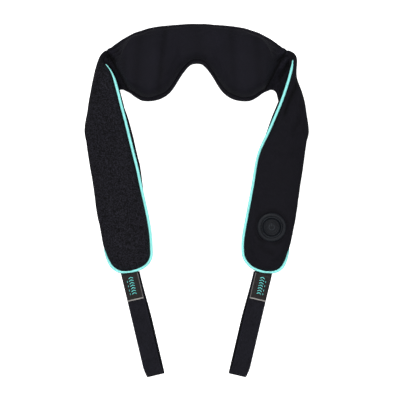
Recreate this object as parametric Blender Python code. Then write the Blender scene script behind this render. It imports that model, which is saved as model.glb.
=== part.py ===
"""Shiatsu neck massager: padded scarf with a kneading drive in the neck section.

Lies flat on a table with the neck side of the neck section up and both arms folded over at the shoulders.
Dimensions are in millimetres here and become metres when a mesh is made. +Z is up, +Y is towards the top edge of the
neck section, and the origin is on the table under the middle of the object.
"""

import math

import bmesh
import bpy
import numpy as np
from mathutils import Vector

MM = 0.001

# ------------------------------------------------------------------ driving dimensions, in mm
CLOTH = 1.2  # cover fabric
SKIN_GAP = 2.6  # from the outer surface of a cover to the foam under it
PIPING_R = 2.0
PIPING_OUT = 2.9  # from the pad's edge to the middle of the piping
WEBBING_W = 30.0
WEBBING_T = 1.4

POD_X, POD_Y = 79.0, 208.0  # axis of each kneading drive
NODE_ORBIT = 23.0
NODE_R = 13.5
MODULE = 1.4
WHEEL_TEETH = 40
WORM_PITCH_R = 7.0
WHEEL_PITCH_R = MODULE * WHEEL_TEETH / 2
DRIVE_Y = POD_Y + WHEEL_PITCH_R + WORM_PITCH_R
DRIVE_Z = 16.5
MOTOR_R = 11.0

CREASE_TOP = np.array([147.0, 227.0])  # the line that each arm folds over
CREASE_END = np.array([165.0, 127.0])
CREASE_Z = 16.0
CREASE_RHO = 8.5

CONTROL = np.array([119.0, -41.6])  # control unit on the right arm
BATTERY = np.array([121.5, 0.0])  # battery on the left arm, mirrored

Z_UP = np.array([0.0, 0.0, 1.0])
U = (CREASE_END - CREASE_TOP) / np.linalg.norm(CREASE_END - CREASE_TOP)
N = np.array([-U[1], U[0]])  # points outward, away from the neck
Q_END = float(np.linalg.norm(CREASE_END - CREASE_TOP))

for old in list(bpy.data.objects):
    bpy.data.objects.remove(old)


# ------------------------------------------------------------------ materials
def material(name, colour, rough, metal=0.0):
    m = bpy.data.materials.new(name)
    m.use_nodes = True
    b = m.node_tree.nodes["Principled BSDF"]
    b.inputs["Base Color"].default_value = (*colour, 1)
    b.inputs["Roughness"].default_value = rough
    b.inputs["Metallic"].default_value = metal
    return m


FABRIC = material("smooth_fabric", (0.012, 0.012, 0.015), 0.8)
TEXTURED = material("textured_fabric", (0.016, 0.015, 0.018), 0.85)
PIPING = material("piping", (0.12, 0.78, 0.68), 0.5)
WEBBING = material("webbing", (0.012, 0.013, 0.018), 0.9)
LABEL = material("label", (0.06, 0.055, 0.055), 0.5)
FOAM = material("foam", (0.25, 0.25, 0.27), 0.95)
PLASTIC = material("black_plastic", (0.03, 0.03, 0.035), 0.45)
SOFT = material("soft_rubber", (0.03, 0.035, 0.04), 0.6)
STEEL = material("steel", (0.6, 0.6, 0.6), 0.3, 1.0)
BRONZE = material("bronze", (0.6, 0.4, 0.2), 0.4, 1.0)
NYLON = material("white_nylon", (0.75, 0.75, 0.7), 0.5)
BOARD = material("circuit_board", (0.02, 0.2, 0.07), 0.5)
CELL = material("cell_wrap", (0.05, 0.15, 0.5), 0.4)
WIRE = material("wire_jacket", (0.5, 0.03, 0.03), 0.5)


# ------------------------------------------------------------------ mesh helpers
def make(name, verts, faces, mat, smooth=True):
    me = bpy.data.meshes.new(name)
    me.from_pydata((np.asarray(verts, float) * MM).tolist(), [], [list(f) for f in faces])
    bm = bmesh.new()
    bm.from_mesh(me)
    bmesh.ops.remove_doubles(bm, verts=bm.verts, dist=1e-6)
    bmesh.ops.recalc_face_normals(bm, faces=bm.faces)
    bm.to_mesh(me)
    bm.free()
    me.materials.append(mat)
    if smooth:
        me.shade_smooth()
        me.set_sharp_from_angle(angle=math.radians(35))
    o = bpy.data.objects.new(name, me)
    bpy.context.scene.collection.objects.link(o)
    return o


def grid_faces(n, m, closed=False, base=0):
    """Triangles over a grid, split the same way everywhere so that nested grids stay parallel."""
    faces = []
    for i in range(n - 1):
        for j in range(m if closed else m - 1):
            a, b = base + i * m + j, base + i * m + (j + 1) % m
            faces += [(a, b, b + m), (a, b + m, a + m)]
    return faces


def loft_data(rings):
    """Closed rings joined along their length, with a flat cap at each end."""
    rings = np.asarray(rings, float)
    n, m = rings.shape[:2]
    faces = grid_faces(n, m, True)
    faces.append(tuple(range(m))[::-1])
    faces.append(tuple((n - 1) * m + j for j in range(m)))
    return rings.reshape(-1, 3), faces


def sheet_data(outer, inner):
    """A closed thin solid between two open grids of the same size."""
    outer, inner = np.asarray(outer, float), np.asarray(inner, float)
    n, m = outer.shape[:2]
    k = n * m
    faces = grid_faces(n, m) + [f[::-1] for f in grid_faces(n, m, base=k)]
    for i in range(n - 1):
        for j in (0, m - 1):
            a, b = i * m + j, (i + 1) * m + j
            faces.append((a, b, k + b, k + a))
    for j in range(m - 1):
        for i in (0, n - 1):
            a, b = i * m + j, i * m + j + 1
            faces.append((a, b, k + b, k + a))
    return np.concatenate([outer.reshape(-1, 3), inner.reshape(-1, 3)]), faces


def joined(parts):
    """Several separate bodies as one set of vertices and faces."""
    verts, faces, k = [], [], 0
    for v, f in parts:
        v = np.asarray(v, float)
        verts.append(v)
        faces += [tuple(i + k for i in g) for g in f]
        k += len(v)
    return np.concatenate(verts), faces


def lathe_data(profile, n=24, centre=(0, 0, 0), axis="Z", phase=0.0):
    """Turns a closed outline of (radius, height) about an axis. A radius of 0 may only be at the outline's two ends."""
    on_axis = profile[0][0] == 0 and profile[-1][0] == 0
    pts = profile[1:-1] if on_axis else profile
    verts = []
    for k in range(n):
        a = phase + 2 * math.pi * k / n
        for r, h in pts:
            verts.append((r * math.cos(a), r * math.sin(a), h))
    m = len(pts)
    faces = []
    for k in range(n):
        k2 = (k + 1) % n
        for j in range(m - 1):
            faces.append((k * m + j, k2 * m + j, k2 * m + j + 1, k * m + j + 1))
        if not on_axis:
            faces.append((k * m + m - 1, k2 * m + m - 1, k2 * m, k * m))
    if on_axis:
        faces.append(tuple(k * m for k in range(n)))
        faces.append(tuple(k * m + m - 1 for k in range(n))[::-1])
        # the two discs stand at the height of the outline's own end rows
    v = np.array(verts)
    if axis == "X":
        v = v[:, [2, 0, 1]]
    return v + np.array(centre, float), faces


def prism_data(outline, z0, z1):
    o = np.asarray(outline, float)
    rings = [np.column_stack([o, np.full(len(o), z)]) for z in (z0, z1)]
    return loft_data(rings)


def box_data(centre, size, angle=0.0):
    cx, cy, cz = centre
    x, y, z = (s / 2 for s in size)
    c, s = math.cos(angle), math.sin(angle)
    out = [(cx + a * c - b * s, cy + a * s + b * c) for a, b in ((-x, -y), (x, -y), (x, y), (-x, y))]
    return prism_data(out, cz - z, cz + z)


def tube_data(points, radius, sides=8):
    p = np.asarray(points, float)
    t = np.gradient(p, axis=0)
    t /= np.linalg.norm(t, axis=1)[:, None]
    up = np.array([0.0, 0.0, 1.0]) if abs(t[0][2]) < 0.9 else np.array([1.0, 0.0, 0.0])
    rings = []
    for q, d in zip(p, t):
        a = np.cross(up, d)
        a /= np.linalg.norm(a)
        b = np.cross(d, a)
        up = b
        ang = np.arange(sides) * 2 * math.pi / sides + math.pi / sides
        rings.append(q + radius * (np.cos(ang)[:, None] * a + np.sin(ang)[:, None] * b))
    return loft_data(rings)


def cut(target, name, data, op="DIFFERENCE"):
    """Cuts target with a guide solid, or joins the guide to it."""
    c = make(name, *data, PLASTIC, smooth=False)
    c.hide_render = True
    c.display_type = "WIRE"
    mod = target.modifiers.new(name, "BOOLEAN")
    mod.operation = op
    mod.solver = "EXACT"
    mod.object = c
    return mod


def catmull(points, count):
    """A smooth open curve through the points, at count places evenly spaced along it."""
    p = np.asarray(points, float)
    p = np.vstack([2 * p[0] - p[1], p, 2 * p[-1] - p[-2]])
    fine = []
    for i in range(1, len(p) - 2):
        for t in np.linspace(0, 1, 12, endpoint=False):
            a, b, c, d = p[i - 1 : i + 3]
            fine.append(
                0.5 * (2 * b + (c - a) * t + (2 * a - 5 * b + 4 * c - d) * t**2 + (3 * b - a - 3 * c + d) * t**3)
            )
    fine.append(p[-2])
    fine = np.array(fine)
    s = np.concatenate([[0], np.cumsum(np.linalg.norm(np.diff(fine, axis=0), axis=1))])
    at = np.linspace(0, s[-1], count)
    return np.column_stack([np.interp(at, s, fine[:, k]) for k in range(fine.shape[1])])


def mirror(data):
    v, f = data
    v = np.array(v, float)
    v[:, 0] *= -1
    return v, [tuple(g)[::-1] for g in f]


def sided(data, side):
    return mirror(data) if side < 0 else data


# ------------------------------------------------------------------ neck section: outline and height
# Each station is a line from the top edge to the bottom edge, from the middle out to the fold line.
NECK = [
    ((0, 283), (0, 220)),
    ((14, 282.8), (10, 218.5)),
    ((30, 281.9), (22, 204.5)),
    ((50, 279.4), (37, 180)),
    ((64, 277.0), (48, 168.8)),
    ((76, 274.2), (60, 162.7)),
    ((88, 271.0), (74, 160.1)),
    ((99, 266.6), (87, 161.9)),
    ((110, 261.0), (97, 167.6)),
    ((121, 254.5), (105, 172.6)),
    ((131, 248.5), (112, 177.0)),
    ((138, 244.4), (120, 179.0)),
    ((141, 242.4), (127, 173.0)),
    ((142.5, 241.4), (129.8, 163.0)),
    ((143.5, 240.7), (134.5, 151.0)),
    ((144.2, 240.2), (147.0, 138.5)),
]
FOLD_TOP_Q = -13.0  # the top edge meets the fold line here, measured along it


def on_line(q, d=0.0):
    return CREASE_TOP + U * q + N * d


def smooth(x):
    x = np.clip(x, 0, 1)
    return x * x * (3 - 2 * x)


def neck_stations():
    right = NECK + [(tuple(on_line(FOLD_TOP_Q)), tuple(on_line(Q_END)))]
    left = [((-a[0], a[1]), (-b[0], b[1])) for a, b in right[:0:-1]]
    return np.array(left + right, float)


def seam_height(x):
    return 15.0 - 7.5 * smooth((np.abs(x) - 95) / 45)


def crown(x, y):
    """Height of the front cover away from its edges: two domes over the kneading heads, a band over the motor."""
    ax = np.abs(x)
    r = np.hypot(ax - POD_X, y - POD_Y)
    dome = 52.2 * smooth((55.5 - r) / 15.0)
    band = 38.0 - 6.0 * smooth((ax - 50) / 40) - 17.5 * smooth((ax - 98) / 34)
    k = 0.12
    both = np.log(np.exp(k * dome) + np.exp(k * band)) / k
    both = both - math.log(2) / k * np.exp(-(((dome - band) / 10.0) ** 2))
    return np.minimum(both, 52.2)


def edge_distance(points, edge):
    best = np.full(len(points), 1e9)
    for a, b in zip(edge[:-1], edge[1:]):
        d = b - a
        t = np.clip(((points - a) @ d) / max(d @ d, 1e-9), 0, 1)
        best = np.minimum(best, np.linalg.norm(points - (a + t[:, None] * d), axis=1))
    return best


def neck_grid(vs, inset, drop, edge_lift):
    """Top surface of the neck section over the stations. inset moves the edges in, drop lowers the surface."""
    st = neck_stations()
    top_edge, bottom_edge = st[:, 0], st[:, 1]
    rows = []
    for a, b in st:
        d = (b - a) / np.linalg.norm(b - a)
        a2, b2 = a + d * inset, b - d * inset
        xy = a2 + np.asarray(vs)[:, None] * (b2 - a2)
        e = np.minimum(edge_distance(xy, top_edge), edge_distance(xy, bottom_edge))
        e = np.maximum(e - inset, 0)
        rise = (1 - (1 - np.minimum(e / 15.0, 1)) ** 2.4) ** (1 / 2.4)
        zs = seam_height(xy[:, 0]) + edge_lift
        z = zs + (crown(xy[:, 0], xy[:, 1]) - drop - zs) * rise
        rows.append(np.column_stack([xy, z]))
    return np.array(rows)


V_TOP = [0, 0.04, 0.11, 0.22, 0.35, 0.5, 0.65, 0.78, 0.89, 0.96, 1]


def neck_tray(inset, floor, rim_drop):
    """Bottom and sides of the neck section as one row of points for each station."""
    rows = []
    for a, b in neck_stations():
        d = (b - a) / np.linalg.norm(b - a)
        a2, b2 = a + d * inset, b - d * inset
        za, zb = seam_height(a[0]) - rim_drop, seam_height(b[0]) - rim_drop
        m = (a2 + b2) / 2
        rows.append(
            [
                (*a2, za),
                (*(a2 - d * 0.0), floor + 0.45 * (za - floor)),
                (*(a2 + d * 3.5), floor),
                (*m, floor),
                (*(b2 - d * 3.5), floor),
                (*b2, floor + 0.45 * (zb - floor)),
                (*b2, zb),
            ]
        )
    return np.array(rows)


make("neck_front_cover", *sheet_data(neck_grid(V_TOP, 0, 0, 0.2), neck_grid(V_TOP, CLOTH, CLOTH, 0.2)), FABRIC)
make("neck_back_cover", *sheet_data(neck_tray(0, 0, 0.3), neck_tray(CLOTH, CLOTH, 0.3)), FABRIC)

foam_top = neck_grid(V_TOP, SKIN_GAP, SKIN_GAP + 3.0, 0.2)
foam_floor = []
for a, b in neck_stations():
    d = (b - a) / np.linalg.norm(b - a)
    a2, b2 = a + d * (SKIN_GAP + 3.4), b - d * (SKIN_GAP + 3.4)
    foam_floor.append([(*b2, 1.7), (*a2, 1.7)])
neck_foam = make("neck_foam", *loft_data(np.concatenate([foam_top, np.array(foam_floor)], axis=1)), FOAM)


# ------------------------------------------------------------------ gearbox chassis
def chassis_outline(grow=0.0):
    """Two round pods joined by a band that holds the worm shaft, with a wider bay for the motor."""
    r, lo, hi, hw, bay = 36.0 + grow, 230.0 - grow, 254.2 + grow, 95.5 + grow, 31.0 + grow
    pts = [(hw, hi), (bay, hi), (bay, hi + 3.6), (-bay, hi + 3.6), (-bay, hi), (-hw, hi)]
    a0 = math.pi - math.acos((hw - POD_X) / r)
    a1 = 2 * math.pi + math.asin((lo - POD_Y) / r)
    for a in np.linspace(a0, a1, 13):
        pts.append((-POD_X + r * math.cos(a), POD_Y + r * math.sin(a)))
    pts += [(-bay, lo), (-bay, lo - 2), (bay, lo - 2), (bay, lo)]
    a0 = math.pi - math.asin((lo - POD_Y) / r)
    a1 = 2 * math.pi + math.acos((hw - POD_X) / r)
    for a in np.linspace(a0, a1, 13):
        pts.append((POD_X + r * math.cos(a), POD_Y + r * math.sin(a)))
    return pts


base = make("chassis_base", *prism_data(chassis_outline(), 2.2, 28.6), PLASTIC)
cut(base, "cut_base_inside", prism_data(chassis_outline(-2.0), 4.2, 40))
SCREW_X, SCREW_Y = 40.0, 250.3
for s in (-1, 1):
    cut(base, f"cut_lead_{s}", box_data((s * 97, 236, 6.6), (12, 4.2, 4.2)))
    post = lathe_data([(0, 3.2), (3.8, 3.2), (3.8, 28.6), (0, 28.6)], 12, (s * SCREW_X, SCREW_Y, 0))
    cut(base, f"join_screw_post_{s}", post, "UNION")
    cut(base, f"cut_screw_post_{s}", lathe_data([(0, 18), (2.1, 18), (2.1, 40), (0, 40)], 10, (s * SCREW_X, SCREW_Y, 0)))
cover = make("chassis_cover", *prism_data(chassis_outline(), 28.9, 30.7), PLASTIC)
for s in (-1, 1):
    cut(cover, f"cut_screw_{s}", lathe_data([(0, 20), (2.1, 20), (2.1, 40), (0, 40)], 10, (s * SCREW_X, SCREW_Y, 0)))
    cut(cover, f"cut_shaft_{s}", lathe_data([(0, 20), (7.4, 20), (7.4, 40), (0, 40)], 20, (s * POD_X, POD_Y, 0)))

cut(neck_foam, "cut_chassis_pocket", prism_data(chassis_outline(0.8), -10, 31.2))
for s in (-1, 1):
    cut(neck_foam, f"cut_screw_room_{s}", lathe_data([(0, 30), (3.6, 30), (3.6, 33.6), (0, 33.6)], 10, (s * SCREW_X, SCREW_Y, 0)))
    cut(neck_foam, f"cut_window_{s}", lathe_data([(0, 25), (39.5, 25), (39.5, 80), (0, 80)], 28, (s * POD_X, POD_Y, 0)))

for side, word in ((-1, "left"), (1, "right")):
    make(
        f"{word}_chassis_screw",
        *lathe_data(
            [(0, 20), (1.7, 20), (1.7, 31.0), (2.9, 31.0), (2.9, 32.4), (1.7, 33.0), (0, 33.0)],
            10,
            (side * SCREW_X, SCREW_Y, 0),
        ),
        STEEL,
    )


# ------------------------------------------------------------------ motor and worm shaft
def along_x(profile, n, x=0.0, phase=0.0):
    return lathe_data(profile, n, (x, DRIVE_Y, DRIVE_Z), "X", phase)


make(
    "motor_can",
    *along_x([(3.0, -20), (MOTOR_R, -20), (MOTOR_R, 15), (MOTOR_R - 0.8, 15), (MOTOR_R - 0.8, -19), (3.0, -19)], 24),
    STEEL,
)
make(
    "motor_end_bell",
    *along_x([(2.6, 15.3), (MOTOR_R, 15.3), (MOTOR_R, 18.5), (6, 18.5), (6, 21), (2.6, 21)], 24),
    PLASTIC,
)
make("motor_rotor", *along_x([(2.5, -14), (8.3, -14), (8.3, 9), (4, 9), (4, 14), (2.5, 14)], 16), BRONZE)
make("motor_magnet", *along_x([(8.9, -15), (9.8, -15), (9.8, 12), (8.9, 12)], 24), STEEL)
make("worm_shaft", *along_x([(0, -93), (2.0, -93), (2.0, 93), (0, 93)], 12), STEEL)
straps = []
for x in (-8,):
    inside, outside = MOTOR_R + 0.4, MOTOR_R + 1.1
    pts = [(DRIVE_Y + inside * math.cos(a), DRIVE_Z + inside * math.sin(a)) for a in np.linspace(0, math.pi, 11)]
    pts += [(DRIVE_Y - inside, 4.6), (DRIVE_Y - outside, 4.6)]
    pts += [(DRIVE_Y + outside * math.cos(a), DRIVE_Z + outside * math.sin(a)) for a in np.linspace(math.pi, 0, 11)]
    pts += [(DRIVE_Y + outside, 4.6), (DRIVE_Y + inside, 4.6)]
    straps.append(loft_data([[(x + dx, y, z) for y, z in pts] for dx in (0, 14.0)]))
for side, word in ((-1, "left"), (1, "right")):
    bush = along_x([(2.3, -1.8), (5.5, -1.8), (5.5, 1.8), (2.3, 1.8)], 16, side * 91.3)
    make(f"{word}_shaft_bush", *bush, BRONZE)
make("motor_clamp", *joined(straps), STEEL)


def worm(name, hand, x0):
    """Single-start worm: a root cylinder joined to a helical thread, with a bore for the shaft."""
    pitch = math.pi * MODULE
    tip, root = WORM_PITCH_R + MODULE, WORM_PITCH_R - 1.25 * MODULE
    half_tip = pitch / 4 - MODULE * math.tan(math.radians(20)) - 0.17
    deep = root - 0.6
    half_deep = pitch / 4 + (WORM_PITCH_R - deep) * math.tan(math.radians(20)) - 0.17
    per_turn, turns = 14, 3.6
    rings = []
    steps = int(per_turn * turns)
    for k in range(steps + 1):
        a = 2 * math.pi * (k / per_turn - turns / 2)
        x = hand * pitch * a / (2 * math.pi)
        grow = min(1.0, (k + 2) / 7, (steps - k + 2) / 7)
        top = deep + (tip - deep) * grow
        # angle 0 faces the wheel, towards -Y
        radial = lambda r: (-r * math.cos(a), -r * math.sin(a))
        ht = half_deep + (half_tip - half_deep) * grow
        ring = []
        for r, dx in ((deep, -half_deep), (top, -ht), (top, ht), (deep, half_deep)):
            y, z = radial(r)
            ring.append((x0 + x + dx, DRIVE_Y + y, DRIVE_Z + z))
        rings.append(ring)
    o = make(name, *along_x([(2.4, -10), (root, -10), (root, 10), (2.4, 10)], 18, x0), BRONZE, smooth=False)
    cut(o, "join_thread_" + name, loft_data(rings), "UNION")
    return o


worm("right_worm", 1, POD_X)
worm("left_worm", -1, -POD_X)


# ------------------------------------------------------------------ kneading drives
def wheel_data(hand, x0):
    """Worm wheel with involute-like teeth that follow the worm's lead. A gap faces the worm at rest."""
    z0, z1 = DRIVE_Z - 4, DRIVE_Z + 4
    rb = WHEEL_PITCH_R * math.cos(math.radians(20))
    inv = lambda a: math.tan(a) - a

    def half(r):
        alpha = math.acos(min(1, rb / r))
        return math.pi / (2 * WHEEL_TEETH) + inv(math.radians(20)) - inv(alpha) - 0.17 / r

    root, tip = WHEEL_PITCH_R - 1.25 * MODULE, WHEEL_PITCH_R + MODULE
    rows = []
    for z in (z0, z1):
        twist = hand * (z - DRIVE_Z) * 0.1 / WHEEL_PITCH_R
        ring = []
        for k in range(WHEEL_TEETH):
            mid = math.pi / 2 + (k + 0.5) * 2 * math.pi / WHEEL_TEETH + twist
            for r, a in ((root, -half(rb)), (tip, -half(tip)), (tip, half(tip)), (root, half(rb))):
                ring.append((x0 + r * math.cos(mid + a), POD_Y + r * math.sin(mid + a), z))
        rows.append(ring)
    m = len(rows[0])
    verts = np.array(rows).reshape(-1, 3)
    faces = grid_faces(2, m, True)
    faces.append(tuple(range(m))[::-1])
    faces.append(tuple(range(m, 2 * m)))
    return verts, faces


def disc(x, y, r0, r1, z0, z1, n=20):
    return lathe_data([(r0, z0), (r1, z0), (r1, z1), (r0, z1)], n, (x, y, 0))


for side, word in ((-1, "left"), (1, "right")):
    px = side * POD_X
    wheel = make(f"{word}_worm_wheel", *wheel_data(side, px), NYLON, smooth=False)
    cut(wheel, f"cut_{word}_wheel_bore", lathe_data([(0, 0), (4.3, 0), (4.3, 40), (0, 40)], 20, (px, POD_Y, 0)))
    make(
        f"{word}_output_shaft",
        *lathe_data([(0, 4.6), (4.0, 4.6), (4.0, 39.2), (3.2, 40), (0, 40)], 20, (px, POD_Y, 0)),
        STEEL,
    )
    # the carrier is a bar with round ends, bored for the shaft and for a stem under each head
    angle = math.radians(90 - 14 * side)
    ca, sa = math.cos(angle), math.sin(angle)
    outline = []
    for end in (1, -1):
        for a in np.linspace(-math.pi / 2, math.pi / 2, 9):
            lx, ly = end * (NODE_ORBIT + 9.5 * math.cos(a)), end * 9.5 * math.sin(a)
            outline.append((px + lx * ca - ly * sa, POD_Y + lx * sa + ly * ca))
    carrier = make(f"{word}_carrier", *prism_data(outline, 32.6, 37.6), PLASTIC)
    cut(carrier, f"cut_{word}_carrier_bore", lathe_data([(0, 20), (4.3, 20), (4.3, 60), (0, 60)], 20, (px, POD_Y, 0)))
    for end, height, place in ((1, 50.4, "upper"), (-1, 48.6, "lower")):
        hx, hy = px + end * NODE_ORBIT * ca, POD_Y + end * NODE_ORBIT * sa
        cut(carrier, f"cut_{word}_stem_{end}", lathe_data([(0, 20), (3.4, 20), (3.4, 60), (0, 60)], 16, (hx, hy, 0)))
        h = height - 38.0
        profile = [(0, 31.4), (3.1, 31.4), (3.1, 37.9), (11.0, 37.9), (NODE_R, 40.2)]
        for t in np.linspace(0.3, 0.9, 3):
            a = t * math.pi / 2
            profile.append((NODE_R * math.cos(a) ** 0.8, 40.2 + (height - 40.2) * math.sin(a)))
        profile += [(2.0, height), (0, height)]
        make(f"{word}_{place}_massage_head", *lathe_data(profile, 14, (hx, hy, 0)), SOFT)
    make(f"{word}_shaft_nut", *disc(px, POD_Y, 5.0, 8.0, 37.9, 39.4, 6), STEEL, smooth=False)
    make(f"{word}_lower_bush", *disc(px, POD_Y, 4.4, 7.0, 4.5, 11.0, 16), BRONZE)
    make(f"{word}_upper_bush", *disc(px, POD_Y, 4.4, 7.0, 26.5, 31.4, 16), BRONZE)

# ------------------------------------------------------------------ arms: edges in plan, seen from above, mirrored for the left
# Each arm starts at its fold line and runs to its rounded end. First the piping side, then the outer side.
ARM_EDGES = {
    "right": [
        ((150.7, 207.0), (165.5, 125.0)),
        ((149.3, 195.5), (165.6, 122.1)),
        ((145.1, 185.3), (166.2, 119.2)),
        ((138.4, 169.6), (167.6, 114.9)),
        ((130.6, 151.5), (170.1, 110.2)),
        ((122.7, 133.6), (174.2, 103.9)),
        ((116.0, 117.9), (174.6, 89.0)),
        ((109.3, 102.4), (173.2, 79.0)),
        ((102.6, 86.4), (171.4, 68.0)),
        ((97.6, 70.7), (169.3, 56.0)),
        ((94.7, 50.6), (166.2, 38.0)),
        ((91.4, 28.2), (162.4, 16.0)),
        ((87.2, 5.6), (158.4, -7.0)),
        ((83.5, -16.8), (154.6, -29.0)),
        ((79.7, -39.2), (150.7, -51.0)),
        ((76.6, -59.2), (146.8, -71.0)),
        ((75.4, -75.2), (143.0, -84.5)),
        ((77.8, -88.6), (138.0, -95.0)),
        ((85.0, -99.4), (131.5, -104.0)),
        ((96.5, -107.6), (124.0, -110.0)),
        ((105.5, -110.5), (116.5, -111.5)),
    ],
    "left": [
        ((148.2, 218.0), (165.5, 125.0)),
        ((141.0, 212.5), (165.9, 122.2)),
        ((134.4, 201.0), (166.6, 119.2)),
        ((129.0, 186.5), (168.1, 115.0)),
        ((123.8, 170.0), (170.5, 110.3)),
        ((118.8, 151.5), (174.7, 104.0)),
        ((114.4, 134.0), (175.0, 89.0)),
        ((110.0, 115.5), (173.4, 79.0)),
        ((105.2, 93.5), (171.4, 68.0)),
        ((100.4, 71.5), (169.1, 56.0)),
        ((95.3, 50.0), (166.2, 38.0)),
        ((90.4, 28.2), (162.5, 16.0)),
        ((85.0, 5.6), (158.4, -7.0)),
        ((79.4, -16.8), (154.2, -29.0)),
        ((74.9, -39.2), (150.2, -51.0)),
        ((72.7, -59.2), (147.0, -71.0)),
        ((72.2, -75.2), (143.6, -84.5)),
        ((73.6, -88.0), (138.6, -95.0)),
        ((80.5, -98.2), (132.0, -104.0)),
        ((92.5, -106.2), (124.5, -110.0)),
        ((104.0, -110.0), (116.5, -111.6)),
    ],
}
#             thickness, height of the piping side, height of the outer side, at each station
ARM_SECTION = [
    (14.0, 24.5, 24.5),
    (14.0, 25.2, 24.0),
    (14.2, 25.8, 23.6),
    (14.6, 26.2, 23.0),
    (15.4, 26.0, 21.6),
    (16.8, 24.4, 19.6),
    (18.4, 21.6, 17.0),
    (20.2, 18.4, 14.6),
    (21.6, 15.6, 12.6),
    (22.6, 13.8, 12.0),
    (23.0, 12.8, 12.0),
    (23.0, 12.6, 12.0),
    (23.0, 12.6, 12.0),
    (23.0, 12.6, 12.0),
    (23.0, 12.6, 12.0),
    (23.0, 12.4, 11.8),
    (22.0, 12.0, 11.4),
    (19.6, 11.4, 11.0),
    (15.4, 10.6, 10.4),
    (10.4, 9.8, 9.8),
    (6.0, 9.4, 9.4),
]
OUTER_SEAM = 0.5  # how far under the pad's outer side the seam runs, as an angle of its section
POWER = 3.0


def edge_normals(edge, other):
    """Unit vectors in plan, square to an edge and pointing away from the other edge."""
    t = np.gradient(edge, axis=0)
    n = np.column_stack([t[:, 1], -t[:, 0]])
    n /= np.linalg.norm(n, axis=1)[:, None]
    side = np.sign(np.sum(n[:15] * (edge[:15] - other[:15])))
    return n * side


def arm_edges(word):
    """The piping's line and the pad's outer edge in plan, with the normals of each."""
    edges = np.array(ARM_EDGES[word], float)
    return edges[:, 0], edges[:, 1], edge_normals(edges[:, 0], edges[:, 1]), edge_normals(edges[:, 1], edges[:, 0])


def end_share(count):
    """0 where the outer seam is hidden under the pad, 1 round the end where it is at mid height."""
    return smooth((np.arange(count) - 13.5) / 4.5)


def arm_frames(word):
    """Middle, half width, across vector and outward vector of each station of an arm, with the arm on the +X side."""
    p0, q0, pn, qn = arm_edges(word)
    sec = np.array(ARM_SECTION)
    p = np.column_stack([p0 - pn * PIPING_OUT, sec[:, 1]])
    q = np.column_stack([q0 - qn * PIPING_OUT * end_share(len(q0))[:, None], sec[:, 2]])
    across = p - q
    width = np.linalg.norm(across, axis=1)
    c = across / width[:, None]
    mid = (p + q) / 2
    t = np.gradient(mid, axis=0)
    n = np.cross(c, t)
    n /= np.linalg.norm(n, axis=1)[:, None]
    n[n[:, 2] < 0] *= -1
    return mid, width / 2, c, n, sec[:, 0] / 2


def outer_seam_angles(count):
    """The seam runs under the outer side and comes up to mid height round the end."""
    return math.pi + OUTER_SEAM * (1 - end_share(count)) * smooth((np.arange(count) + 1) / 4)


def section_point(mid, hw, c, n, ht, phi, shrink=0.0):
    x = (hw - shrink) * np.sign(math.cos(phi)) * abs(math.cos(phi)) ** (2 / POWER)
    b = (ht - shrink) * np.sign(math.sin(phi)) * abs(math.sin(phi)) ** (2 / POWER)
    return mid + c * x + n * b


def arm_grid(word, phis_of, shrink=0.0, first=0, last=None):
    mid, hw, c, n, ht = arm_frames(word)
    seam = outer_seam_angles(len(mid))
    rows = []
    for i in range(first, last or len(mid)):
        rows.append([section_point(mid[i], hw[i], c[i], n[i], ht[i], f, min(shrink, ht[i] - 1.2)) for f in phis_of(seam[i])])
    return np.array(rows)


DELTA = 0.012


def seam_delta(s):
    return DELTA + 0.024 * min(1.0, (s - math.pi) / 0.3)


FRONT = lambda s: DELTA + (s - DELTA - seam_delta(s)) * np.array([0, 0.05, 0.14, 0.28, 0.44, 0.6, 0.74, 0.86, 0.95, 1.0])
BACK = lambda s: s + seam_delta(s) + (2 * math.pi - s - DELTA - seam_delta(s)) * np.array(
    [0, 0.14, 0.34, 0.58, 0.8, 0.94, 1.0]
)
AROUND = lambda s: np.linspace(0, 2 * math.pi, 14, endpoint=False)

fronts, foams, backs = {}, {}, {}
for side, word in ((-1, "left"), (1, "right")):
    mat = TEXTURED if word == "left" else FABRIC
    fronts[word] = make(
        f"{word}_arm_front_cover", *sided(sheet_data(arm_grid(word, FRONT), arm_grid(word, FRONT, CLOTH)), side), mat
    )
    backs[word] = make(
        f"{word}_arm_back_cover", *sided(sheet_data(arm_grid(word, BACK), arm_grid(word, BACK, CLOTH)), side), FABRIC
    )
    foams[word] = make(
        f"{word}_arm_foam", *sided(loft_data(arm_grid(word, AROUND, SKIN_GAP, 0, 20)), side), FOAM
    )
    # piping: down the inner side, round the end and back up under the outer side
    mid, hw, c, n, ht = arm_frames(word)
    seam, share = outer_seam_angles(len(mid)), end_share(len(mid))
    p0, q0, pn, qn = arm_edges(word)
    inner = [np.array([*p0[i], (mid[i] + c[i] * hw[i])[2]]) for i in range(len(mid))]
    outer_side = []
    for i in range(len(mid) - 1, 5, -1):
        at = section_point(mid[i], hw[i], c[i], n[i], ht[i], seam[i])
        before = section_point(mid[i], hw[i], c[i], n[i], ht[i], seam[i] - 0.03)
        after = section_point(mid[i], hw[i], c[i], n[i], ht[i], seam[i] + 0.03)
        along = after - before
        out = (along @ n[i]) * c[i] - (along @ c[i]) * n[i]
        out /= np.linalg.norm(out)
        if out @ (at - mid[i]) < 0:
            out = -out
        out = out * (1 - share[i]) + np.array([*qn[i], 0.0]) * share[i]
        outer_side.append(at + out / np.linalg.norm(out) * PIPING_OUT)
    route = np.array(inner + outer_side)
    route[:, 2] = np.maximum(route[:, 2], PIPING_R + 0.1)
    make(f"{word}_piping", *sided(tube_data(route, PIPING_R, 6), side), PIPING)

# ------------------------------------------------------------------ battery, in the left arm
ARM_TURN = math.radians(-11.0)  # the arms lean in by this much; for the arm on the +X side


def local(origin, a, b):
    """a across the arm, b towards its end."""
    ca, sa = math.cos(ARM_TURN), math.sin(ARM_TURN)
    return origin[0] + a * ca + b * sa, origin[1] + a * sa - b * ca


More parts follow.
